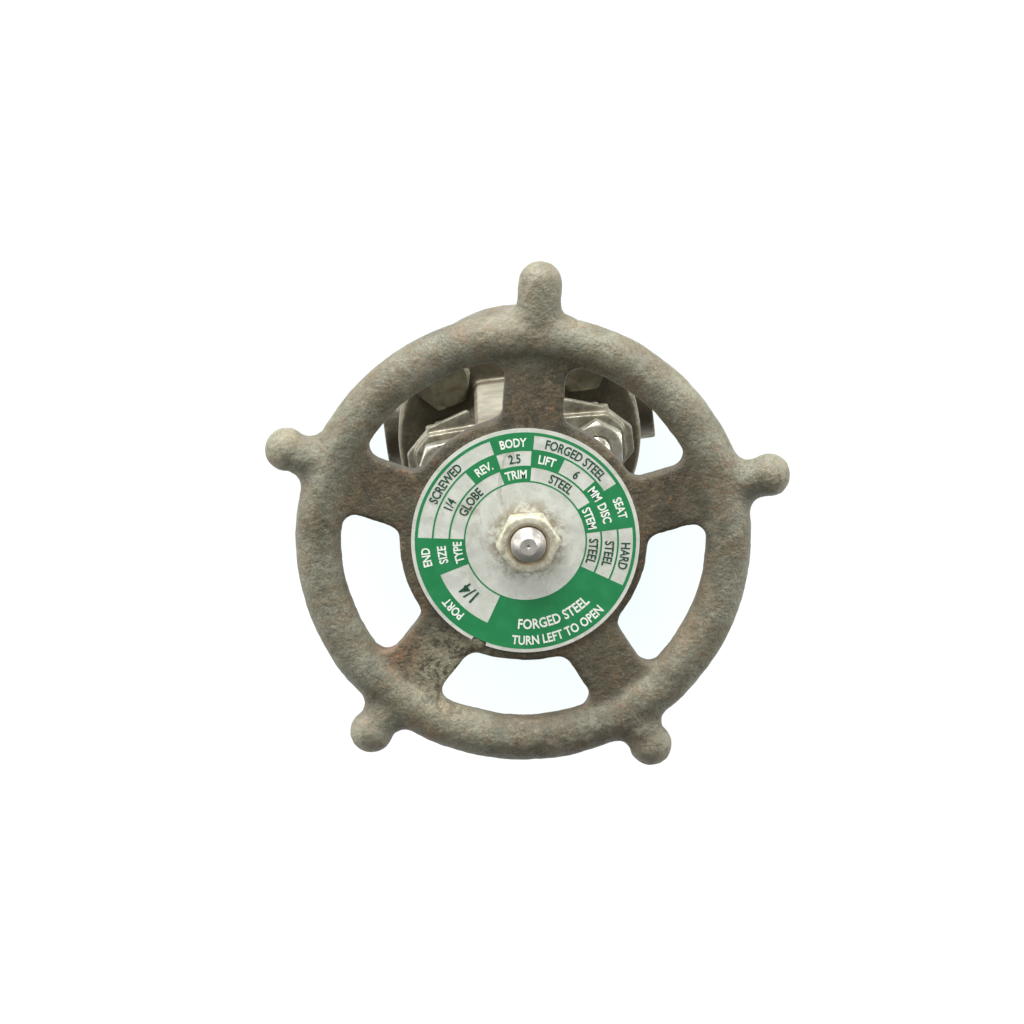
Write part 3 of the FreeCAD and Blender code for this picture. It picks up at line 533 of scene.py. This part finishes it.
def merge(*bars):
    """Joins several (vertices, faces) into one."""
    vertices, faces = [], []
    for more, rings in bars:
        offset = sum(len(v) for v in vertices)
        vertices.append(np.asarray(more))
        faces += [[offset + i for i in face] for face in rings]
    return np.concatenate(vertices), faces


# ---------------------------------------------------------------- hexagons, bars and threads

CHAMFER_SLOPE = math.tan(math.radians(30))
CORNER_WEAR = 0.1225 * MM


def hex_radius(angles, across_flats):
    """Distance from the axis to a hexagon's side, with its corners slightly worn."""
    flat = across_flats / 2 / np.cos((angles % (math.pi / 3)) - math.pi / 6)
    return np.minimum(flat, across_flats / math.sqrt(3) - CORNER_WEAR)


def hex_nut(name, across_flats, height, hole, centre, turn, material, body, slot,
            lead=0.45 * MM):
    """Nut with 30 degree chamfers, standing on centre; lead is the hole's own chamfer."""
    turns, flat_share, lead_drop = 144, 0.955, lead * 0.6
    radius = hex_radius(full_turn(turns), across_flats)
    face = across_flats / 2 * flat_share
    drop = np.maximum(radius - face, 0) * CHAMFER_SLOPE
    profile = [(hole + lead, 0), (face, 0), (radius, drop), (radius, height - drop),
               (face, height), (hole + lead, height), (hole, height - lead_drop),
               (hole, lead_drop)]
    vertices, faces = spin(profile, turns, 0.16 * MM)
    return make_object(name, placed(vertices, centre, turn), faces, material, body, slot)


def thread_radius(height, angle, major, pitch, depth, flank):
    """Radius of a single-start right-hand thread; flank is the share taken by the slopes."""
    phase = (height / pitch - angle / TAU) % 1.0
    slope = flank / 2
    land = (1 - flank) / 2
    rise = np.clip(phase / slope, 0, 1) - np.clip((phase - slope - land) / slope, 0, 1)
    return major - depth * (1 - rise)


def screwed_bar(bottom, sections, turns):
    """A bar round Z whose (top, step, shape) sections each start where the last one ends.

    shape(height, share, angles) gives the radius; share goes from 0 to 1 along the section."""
    angles = full_turn(turns)
    rows = []
    low = bottom
    for high, step, shape in sections:
        count = max(2, int(round((high - low) / step)) + 1)
        for height in np.linspace(low, high, count):
            radius = shape(height, (height - low) / (high - low), angles)
            rows.append(np.stack(np.broadcast_arrays(radius, height, angles)[:2], axis=1))
        low = high
    grid = np.array(rows)
    first, last = grid[0].copy(), grid[-1].copy()
    first[:, 0] = last[:, 0] = 0.02 * MM
    vertices, faces = skin(np.concatenate([first[None], grid, last[None]]), angles)
    base = (len(grid) + 1) * turns
    faces = [f for f in faces if not (min(f) < turns and max(f) >= base)]
    faces += [list(reversed(range(turns))), list(range(base, base + turns))]
    return vertices, faces


def plain(radius):
    return lambda height, share, angles: radius


def tapered(low_radius, high_radius):
    return lambda height, share, angles: low_radius + (high_radius - low_radius) * share


def screw(major, pitch, depth, flank, fade=None):
    """Thread section; fade is (start, end), between which it grows from nothing to full depth."""
    def shape(height, share, angles):
        radius = thread_radius(height, angles, major, pitch, depth, flank)
        if fade is None:
            return radius
        cut = min(1.0, max(0.0, (height - fade[0]) / (fade[1] - fade[0])))
        return radius * cut + major * (1 - cut)
    return shape


def hexed(top, across_flats, turn):
    """Hexagon section whose corners are chamfered towards top."""
    face = across_flats * 0.475

    def shape(height, share, angles):
        chamfered = face + max(0.0, top - height) / CHAMFER_SLOPE
        return np.minimum(hex_radius(angles - turn, across_flats), chamfered)
    return shape


# ---------------------------------------------------------------- castings and forgings

def from_cad(name, nodes, body, material, voxel, smooth, roughen=()):
    """A finely remeshed copy of CAD nodes, with its hard edges softened and skin roughened.

    Each roughen layer is (size of its lumps, how far it pushes the skin)."""
    vertices, faces = [], []
    for mesh in [frame["nodes"][node].data for node in nodes]:
        offset = len(vertices)
        vertices += [v.co[:] for v in mesh.vertices]
        faces += [[offset + i for i in p.vertices] for p in mesh.polygons]
    source = bpy.data.meshes.new(f"{name}_source")
    source.from_pydata(vertices, [], faces)
    work = bpy.data.objects.new(f"{name}_work", source)
    bpy.context.scene.collection.objects.link(work)
    weld = work.modifiers.new("weld", "WELD")
    weld.merge_threshold = 0.002 * MM
    remesh = work.modifiers.new("remesh", "REMESH")
    remesh.mode = "VOXEL"
    remesh.voxel_size = voxel
    soften = work.modifiers.new("soften", "SMOOTH")
    soften.factor = 0.5
    soften.iterations = smooth
    for i, (lump, strength) in enumerate(roughen):
        texture = bpy.data.textures.new(f"{name}_{i}", "CLOUDS")
        texture.noise_scale = lump
        texture.noise_depth = 3
        displace = work.modifiers.new(f"roughen_{i}", "DISPLACE")
        displace.texture = texture
        displace.texture_coords = "LOCAL"
        displace.mid_level = 0.5
        displace.strength = strength
    graph = bpy.context.evaluated_depsgraph_get()
    mesh = bpy.data.meshes.new_from_object(work.evaluated_get(graph))
    mesh.name = name
    bpy.data.objects.remove(work)
    piece = finish_mesh(name, mesh, material, body, 80.0)
    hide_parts(*nodes)
    return piece


def make_castings():
    """The cast wheel, then the two big forgings."""
    from_cad("handwheel_cast", ["handwheel"], WHEEL_SET, "wheel_iron",
             0.42 * MM, 20, ((9 * MM, 0.5 * MM), (1.6 * MM, 0.22 * MM)))
    for node in ("body", "bonnet"):
        from_cad(f"{node}_forged", [node], ROOT, "forged_steel",
                 0.5 * MM, 4, ((6 * MM, 0.15 * MM),))


def colour_cad_nodes():
    """Gives every CAD node the material of its slot; most small ones show as they are."""
    for part in frame["record"]["subparts"]:
        mesh = frame["nodes"][part["node"]].data
        mesh.materials.clear()
        mesh.materials.append(materials[part["material_slot"]])


def make_gland_and_bushing():
    from_cad("gland_flange_forged", ["gland_flange"], ROOT, "gland_steel",
             0.28 * MM, 12, ((4 * MM, 0.1 * MM),))
    from_cad("yoke_bushing_turned", ["yoke_bushing"], ROOT, "bushing_iron",
             0.24 * MM, 3)


# ---------------------------------------------------------------- wheel nut and stem

STEM_RADIUS, STEM_PITCH, STEM_THREAD_DEPTH = 4.76 * MM, 2.54 * MM, 1.27 * MM
BUTTON_RADIUS, BUTTON_HEIGHT, BUTTON_EDGE = 5.0 * MM, 1.9 * MM, 0.3 * MM
NECK_RADIUS, COLLAR_RADIUS = 3.0 * MM, 6.6 * MM
COLLAR_BOTTOM, COLLAR_TOP, BACKSEAT_TOP = 41.0 * MM, 43.1 * MM, 44.94 * MM
THREAD_BOTTOM, THREAD_FADE = 134 * MM, 4 * MM
FLAT_HALF = 4.0 * MM
END_RADIUS, END_PITCH, END_THREAD_DEPTH = 3.97 * MM, 1.27 * MM, 0.6 * MM
DOME_HEIGHT, DOME_FLAT = 2.2 * MM, 1.9 * MM
WHEEL_NUT_FLATS, WHEEL_NUT_HOLE, WHEEL_NUT_LEAD = 12.7 * MM, 4.02 * MM, 0.85 * MM


def make_wheel_nut():
    bottom = node_bottom("handwheel_nut")
    piece = hex_nut("handwheel_nut_forged", WHEEL_NUT_FLATS, node_top("handwheel_nut") - bottom,
                    WHEEL_NUT_HOLE, (0, 0, bottom), math.radians(57), "wheel_nut_zinc",
                    WHEEL_SET, "plated_steel", WHEEL_NUT_LEAD)
    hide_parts("handwheel_nut")


def flatted(height, share, angles):
    """Four flats for the wheel, cut on the round stem."""
    side = FLAT_HALF / np.maximum(np.abs(np.cos(angles)), np.abs(np.sin(angles)))
    return np.minimum(side, STEM_RADIUS)


def domed(height, share, angles):
    """Rounded shoulder from the full thread size in to the small flat on the end."""
    return DOME_FLAT + (END_RADIUS - DOME_FLAT) * (1 - share ** 1.5)


def make_stem():
    """Button, neck, backseat collar, smooth packing length, ten threads to the inch where the
    yoke bushing works, flats for the wheel, fine thread for the nut, domed end."""
    bottom, top = node_bottom("stem"), node_top("stem")
    wheel_bottom, plate_bottom = node_bottom("handwheel"), node_bottom("nameplate")
    dome_bottom = top - DOME_HEIGHT
    fade = (THREAD_BOTTOM, THREAD_BOTTOM + THREAD_FADE)
    bar = screwed_bar(bottom, (
        (bottom + BUTTON_EDGE, BUTTON_EDGE, tapered(BUTTON_RADIUS - 0.4 * MM, BUTTON_RADIUS)),
        (bottom + BUTTON_HEIGHT, 1.6 * MM, plain(BUTTON_RADIUS)),
        (COLLAR_BOTTOM, 8 * MM, plain(NECK_RADIUS)),
        (COLLAR_TOP, 2.1 * MM, plain(COLLAR_RADIUS)),
        (BACKSEAT_TOP, 1.84 * MM, tapered(COLLAR_RADIUS, STEM_RADIUS)),
        (THREAD_BOTTOM, 20 * MM, plain(STEM_RADIUS)),
        (wheel_bottom - 1.5 * MM, 0.16 * MM,
         screw(STEM_RADIUS, STEM_PITCH, STEM_THREAD_DEPTH, 0.28, fade)),
        (wheel_bottom, 1.5 * MM, plain(STEM_RADIUS - 0.9 * MM)),
        (plate_bottom - 1 * MM, 4 * MM, flatted),
        (dome_bottom - 0.4 * MM, 0.12 * MM, screw(END_RADIUS, END_PITCH, END_THREAD_DEPTH, 0.9)),
        (dome_bottom, 0.2 * MM, plain(END_RADIUS)),
        (top, 0.15 * MM, domed),
        # a shallow dish and a centre mark, sunk into the end
        (top - 0.12 * MM, 0.06 * MM, tapered(DOME_FLAT - 0.1 * MM, 0.5 * MM)),
        (top - 0.5 * MM, 0.2 * MM, tapered(0.45 * MM, 0.1 * MM)),
    ), 72)
    piece = make_object("stem_turned", *bar, "stem_steel", WHEEL_SET, "stem_steel", 24.0)
    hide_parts("stem")


# ---------------------------------------------------------------- bolting

BOLT_CIRCLE, BOLT_FLATS, BOLT_HEAD_HEIGHT = 24 * MM, 12.7 * MM, 5.3 * MM
BOLT_RADIUS, BOLT_PITCH, BOLT_THREAD_DEPTH = 3.94 * MM, 1.58 * MM, 0.8 * MM
SHANK_RADIUS, SHANK_LENGTH, WASHER_FACE_RADIUS = 3.9 * MM, 9.6 * MM, 6.1 * MM

EYE_RADIUS, EYE_HOLE, EYE_HALF_WIDTH = 3.9 * MM, 1.65 * MM, 3.1 * MM
ROD_RADIUS, ROD_PITCH, ROD_THREAD_DEPTH = 3.0 * MM, 1.27 * MM, 0.6 * MM
GLAND_NUT_FLATS, GLAND_NUT_HOLE = 11.9 * MM, 3.05 * MM
GLAND_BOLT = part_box("gland_eyebolts")[1][0] - EYE_RADIUS


def bonnet_bolt(bottom, top, turn):
    """One hexagon bolt: chamfered point, thread, plain shank, washer face and head."""
    under_head = top - BOLT_HEAD_HEIGHT
    return screwed_bar(bottom, (
        (bottom + 0.6 * MM, 0.3 * MM, tapered(SHANK_RADIUS - 0.6 * MM, SHANK_RADIUS)),
        (under_head - SHANK_LENGTH, 0.16 * MM,
         screw(BOLT_RADIUS, BOLT_PITCH, BOLT_THREAD_DEPTH, 0.85)),
        (under_head, SHANK_LENGTH, plain(SHANK_RADIUS)),
        (under_head + 0.3 * MM, 0.3 * MM, plain(WASHER_FACE_RADIUS)),
        (top, 0.2 * MM, hexed(top, BOLT_FLATS, turn)),
    ), 96)


def make_bonnet_bolts():
    """Four bolts on their circle, each head stopped at a different turn."""
    bottom, top = node_bottom("bonnet_bolts"), node_top("bonnet_bolts")
    bolts = []
    for i in range(4):
        angle = math.radians(45 + 90 * i)
        bolt = bonnet_bolt(bottom, top, math.radians(15 * i))
        bolts.append(moved(bolt, BOLT_CIRCLE * math.cos(angle), BOLT_CIRCLE * math.sin(angle)))
    piece = make_object("bonnet_bolts_turned", *merge(*bolts), "bolting", ROOT, "bolting", 26.0)
    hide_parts("bonnet_bolts")


def gland_rod(eye_middle, top):
    """Rod of one eyebolt: plain neck out of the eye, thread and chamfered end."""
    neck_top = eye_middle + 7 * MM
    thread = screw(ROD_RADIUS, ROD_PITCH, ROD_THREAD_DEPTH, 0.85, (neck_top, neck_top + 3 * MM))
    return screwed_bar(eye_middle + 2.2 * MM, (
        (neck_top, 3 * MM, plain(ROD_RADIUS - 0.05 * MM)),
        (top - 0.5 * MM, 0.14 * MM, thread),
        (top, 0.25 * MM, tapered(ROD_RADIUS - 0.1 * MM, ROD_RADIUS - 0.6 * MM)),
    ), 64)


def gland_eye(centre):
    """Ring of one eyebolt round its hinge pin, which lies along Y."""
    ring, faces = spin([(EYE_HOLE, -EYE_HALF_WIDTH), (EYE_RADIUS, -EYE_HALF_WIDTH),
                        (EYE_RADIUS, EYE_HALF_WIDTH), (EYE_HOLE, EYE_HALF_WIDTH)],
                       64, 0.7 * MM, 4)
    return placed(ring, centre, along=(0, 1, 0)), faces


def make_gland_eyebolts():
    eye_middle = node_bottom("gland_eyebolts") + EYE_RADIUS
    rod = gland_rod(eye_middle, node_top("gland_eyebolts"))
    rods = [moved(rod, GLAND_BOLT * side, 0) for side in SIDES]
    eyes = [gland_eye((GLAND_BOLT * side, 0, eye_middle)) for side in SIDES]
    piece = make_object("gland_eyebolts_turned", *merge(*rods, *eyes), "stainless", ROOT,
                        "stainless", 30.0)
    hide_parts("gland_eyebolts")


def make_gland_nuts():
    bottom, top = node_bottom("gland_nuts"), node_top("gland_nuts")
    nuts = [hex_nut(f"gland_nut_{i}", GLAND_NUT_FLATS, top - bottom, GLAND_NUT_HOLE,
                    (GLAND_BOLT * side, 0, bottom), math.radians(20 * i + 6), "stainless", ROOT,
                    "stainless")
            for i, side in enumerate(SIDES)]
    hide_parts("gland_nuts")


# ---------------------------------------------------------------- threads in the two ports

PORT_HEIGHT, PORT_WALL = 22 * MM, 5.95 * MM
PORT_RADIUS, PORT_PITCH, PORT_THREAD_DEPTH = 5.72 * MM, 1.41 * MM, 0.62 * MM
PORT_REACH, PORT_START = 11.5 * MM, 1.3 * MM


def port_thread(side):
    """Thread ridges just inside one screwed end, sunk into the wall of the hole."""
    angles = full_turn(72)
    heights = np.linspace(0, PORT_REACH - PORT_START, 96)

    def ring(radius, height):
        return np.stack(np.broadcast_arrays(radius, height, angles)[:2], axis=1)

    inner = [ring(thread_radius(h, angles, PORT_RADIUS, PORT_PITCH, PORT_THREAD_DEPTH, 0.9), h)
             for h in heights]
    outer = [ring(PORT_WALL, h) for h in heights[::-8]]
    vertices, faces = skin(np.array(outer + inner), angles)
    body_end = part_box("body")[1][0]
    centre = (side * (body_end - PORT_REACH), 0, PORT_HEIGHT)
    return placed(vertices, centre, along=(side, 0, 0)), faces


def make_port_threads():
    for side, name in zip(SIDES, ("inlet", "outlet")):
        make_object(f"{name}_port_thread", *port_thread(side), "forged_steel", ROOT,
                    "forged_steel", 28.0)


# ---------------------------------------------------------------- nameplate print

PLATE_OFFSET = -0.6 * MM
PRINT_LOW = node_top("nameplate") - 0.03 * MM
PRINT_HIGH = node_top("nameplate") + 0.03 * MM

# The printed table is seven bands between these ring edges (mm). Each band is left bare over
# some stretches, given as (start, end) in degrees from +X.
RING_EDGES = (13.35, 13.7, 16.7, 17.1, 20.4, 20.8, 23.9, 24.6)
RIGHT_BARE, LOWER_BARE = (-32.0, 0.3), (195.0, 238.6)
INNER_BARE = ((103.0, 171.0), (24.5, 78.5), RIGHT_BARE, LOWER_BARE)
MIDDLE_BARE = ((123.5, 171.0), (79.2, 101.5), (34.4, 57.8), RIGHT_BARE, LOWER_BARE)
OUTER_BARE = ((102.4, 171.0), (25.9, 78.3), RIGHT_BARE)
BAND_BARE = ((), INNER_BARE, (LOWER_BARE,), MIDDLE_BARE, (), OUTER_BARE, ())


def bare(band, angle):
    return any((angle - start) % 360 < (end - start) for start, end in BAND_BARE[band])


def make_print():
    """The green table as one closed skin: rings and blocks with the bare cells left out."""
    cuts = {round(edge % 360, 3) for band in BAND_BARE for pair in band for edge in pair}
    cuts |= {float(angle) for angle in range(0, 360, 2)}
    angles = sorted(cuts)
    count, bands = len(angles), len(RING_EDGES) - 1
    filled = [[not bare(band, (angles[i] + 0.01) % 360) for i in range(count)]
              for band in range(bands)]
    index, vertices, faces = {}, [], []

    def corner(edge, i, level):
        key = (edge, i % count, level)
        if key not in index:
            angle = math.radians(angles[i % count])
            radius = RING_EDGES[edge] * MM
            index[key] = len(vertices)
            vertices.append((PLATE_OFFSET + radius * math.cos(angle), radius * math.sin(angle),
                             PRINT_HIGH if level else PRINT_LOW))
        return index[key]

    for band in range(bands):
        for i in range(count):
            if not filled[band][i]:
                continue
            j = i + 1
            a, b, c, d = (band, i), (band + 1, i), (band + 1, j), (band, j)
            faces.append([corner(*v, 1) for v in (a, b, c, d)])
            faces.append([corner(*v, 0) for v in (d, c, b, a)])
            sides = ((b, a, filled[band][i - 1]), (d, c, filled[band][j % count]),
                     (a, d, band > 0 and filled[band - 1][i]),
                     (c, b, band < bands - 1 and filled[band + 1][i]))
            for first, second, covered in sides:
                if not covered:
                    faces.append([corner(*first, 1), corner(*first, 0),
                                  corner(*second, 0), corner(*second, 1)])
    make_object("plate_print", vertices, faces, "green_ink", WHEEL_SET, "plate_aluminium", 20.0)


def letters(name, words):
    """Mesh of one line of raised letters at size 1, its baseline centred on the origin."""
    curve = bpy.data.curves.new(f"{name}_curve", "FONT")
    curve.body = words
    curve.size = 1.0
    curve.align_x = "CENTER"
    curve.offset = 0.022
    curve.resolution_u = 3
    curve.extrude = 0.5
    holder = bpy.data.objects.new(f"{name}_holder", curve)
    bpy.context.scene.collection.objects.link(holder)
    graph = bpy.context.evaluated_depsgraph_get()
    mesh = bpy.data.meshes.new_from_object(holder.evaluated_get(graph))
    bpy.data.objects.remove(holder)
    mesh.name = name
    return mesh


def curved_words(name, words, radius, middle, height, material, inward=False):
    """Raised letters bent round the plate; their tops face outward unless inward is set."""
    capital_height, squeeze = 0.7, 0.8
    mesh = letters(name, words)
    places = np.array([v.co[:] for v in mesh.vertices])
    scale = height * MM / capital_height
    across = places[:, 0] * scale * squeeze
    up = places[:, 1] * scale
    start = math.radians(middle)
    if inward:
        reach = (radius + height / 2) * MM - up
        angle = start + across / (radius * MM)
    else:
        reach = (radius - height / 2) * MM + up
        angle = start - across / (radius * MM)
    level = np.where(places[:, 2] > 0, PRINT_HIGH + 0.03 * MM, PRINT_LOW)
    bent = np.stack([PLATE_OFFSET + reach * np.cos(angle), reach * np.sin(angle), level], axis=1)
    for vertex, place in zip(mesh.vertices, bent):
        vertex.co = place
    mesh.update()
    finish_mesh(name, mesh, material, WHEEL_SET, 20.0)


# Words of the table: text, radius of its row (mm) and the angle of its middle.
INNER_ROW, MIDDLE_ROW, OUTER_ROW = 15.2, 18.75, 22.35
LABELS = (("END", OUTER_ROW, 182.5), ("SIZE", MIDDLE_ROW, 182.5), ("TYPE", INNER_ROW, 182.5),
          ("BODY", OUTER_ROW, 90.3), ("REV.", MIDDLE_ROW, 112.5), ("LIFT", MIDDLE_ROW, 68.3),
          ("MM", MIDDLE_ROW, 27.4), ("TRIM", INNER_ROW, 90.7), ("SEAT", OUTER_ROW, 12.5),
          ("DISC", MIDDLE_ROW, 12.5), ("STEM", INNER_ROW, 12.5), ("PORT", OUTER_ROW, 216.8))
VALUES = (("SCREWED", OUTER_ROW, 136.7), ("1/4", MIDDLE_ROW, 147.0), ("GLOBE", INNER_ROW, 137.0),
          ("FORGED STEEL", OUTER_ROW, 52.0), ("2.5", MIDDLE_ROW, 90.3),
          ("6", MIDDLE_ROW, 46.0), ("STEEL", INNER_ROW, 51.5), ("HARD", OUTER_ROW, -15.9),
          ("STEEL", MIDDLE_ROW, -15.9), ("STEEL", INNER_ROW, -15.9))


def make_words():
    """Labels on green, values on bare metal, the port size and the two lines at the foot."""
    for i, (words, row, middle) in enumerate(LABELS):
        curved_words(f"plate_label_{i}", words, row, middle, 1.9, "white_ink")
    for i, (words, row, middle) in enumerate(VALUES):
        curved_words(f"plate_value_{i}", words, row, middle, 2.0, "dark_ink")
    curved_words("plate_bore_size", "1/4", 17.2, 216.8, 3.0, "dark_ink")
    curved_words("plate_line_1", "FORGED STEEL", 18.9, 283.3, 2.2, "white_ink", True)
    curved_words("plate_line_2", "TURN LEFT TO OPEN", 22.6, 283.3, 2.0, "white_ink", True)


# ---------------------------------------------------------------- studio

def make_floor():
    """Pale floor under the foot, with a painted shadow, a little cooler in tone, close to the
    valve.
    """
    reach = 4.0
    mesh = bpy.data.meshes.new("floor")
    mesh.from_pydata([(-reach, -reach, 0), (reach, -reach, 0), (reach, reach, 0),
                      (-reach, reach, 0)], [], [(0, 1, 2, 3)])
    floor = bpy.data.objects.new("floor", mesh)
    bpy.context.scene.collection.objects.link(floor)
    paint = Shader("floor_paint", Roughness=0.8)
    paint.colour(srgb(96, 98, 98))
    # painted shadow: a soft cooler patch in the floor's glow close to the valve
    near = paint.spot(0, -24 * MM, 0, 30 * MM, 105 * MM)
    paint.feed(paint.surface.inputs["Emission Color"],
               paint.mix(near, (1, 1, 1, 1), srgb(236, 246, 246)))
    paint.surface.inputs["Emission Strength"].default_value = 0.95
    mesh.materials.append(paint.material)


def make_sky():
    world = bpy.data.worlds.new("sky")
    bpy.context.scene.world = world
    world.use_nodes = True
    background = world.node_tree.nodes["Background"]
    background.inputs["Color"].default_value = (0.97, 0.99, 1.0, 1)
    background.inputs["Strength"].default_value = 0.25


def soft_box(name, place, side, power):
    """Square area light aimed at the middle of the valve."""
    light = bpy.data.lights.new(name, "AREA")
    light.shape = "SQUARE"
    light.size = side
    light.energy = power
    item = bpy.data.objects.new(name, light)
    item.location = place
    aim = Vector((0, 0, 0.1)) - Vector(place)
    item.rotation_euler = aim.to_track_quat("-Z", "Y").to_euler()
    bpy.context.scene.collection.objects.link(item)


def make_studio():
    """Pale floor, a soft sky and four soft boxes, the strongest behind the valve."""
    bpy.context.scene.view_settings.view_transform = "Standard"
    make_floor()
    make_sky()
    soft_box("back_box", (-0.1, 1.25, 0.5), 0.7, 36)
    soft_box("inlet_box", (-1.15, 0.35, 0.45), 0.7, 11)
    soft_box("outlet_box", (1.15, 0.35, 0.45), 0.7, 14)
    soft_box("top_box", (0.1, 0.4, 1.4), 0.9, 4)


def make_camera():
    """Looks down the stem, a little from behind the valve (+Y) and from the inlet side."""
    scene = bpy.context.scene
    roll, tilt, lean = math.radians(7.0), math.radians(12.0), math.radians(0.9)
    distance = 1.07
    right = Vector((math.cos(roll), -math.sin(roll), 0))
    up = Vector((math.sin(roll), math.cos(roll), 0))
    centre = Vector((0, 0, WHEEL_HEIGHT)) - right * 1.0 * MM
    outward = up * math.sin(tilt) - right * math.sin(lean) + Vector((0, 0, math.cos(tilt)))
    data = bpy.data.cameras.new("camera")
    camera = bpy.data.objects.new("camera", data)
    camera.location = centre + outward * distance
    target = centre - right * 2.5 * MM + up * 5.4 * MM
    forward = (target - camera.location).normalized()
    side = forward.cross(up).normalized()
    top = side.cross(forward)
    camera.matrix_world = Matrix.Translation(camera.location) @ Matrix(
        (side, top, -forward)).transposed().to_4x4()
    data.sensor_width = 36
    data.lens = 168.5
    data.clip_end = 20
    scene.collection.objects.link(camera)
    scene.camera = camera


# ---------------------------------------------------------------- the valve

make_castings()
colour_cad_nodes()
make_wheel_nut()
make_stem()
make_bonnet_bolts()
make_gland_eyebolts()
make_gland_nuts()
make_gland_and_bushing()
make_port_threads()
make_print()
make_words()
make_studio()
make_camera()
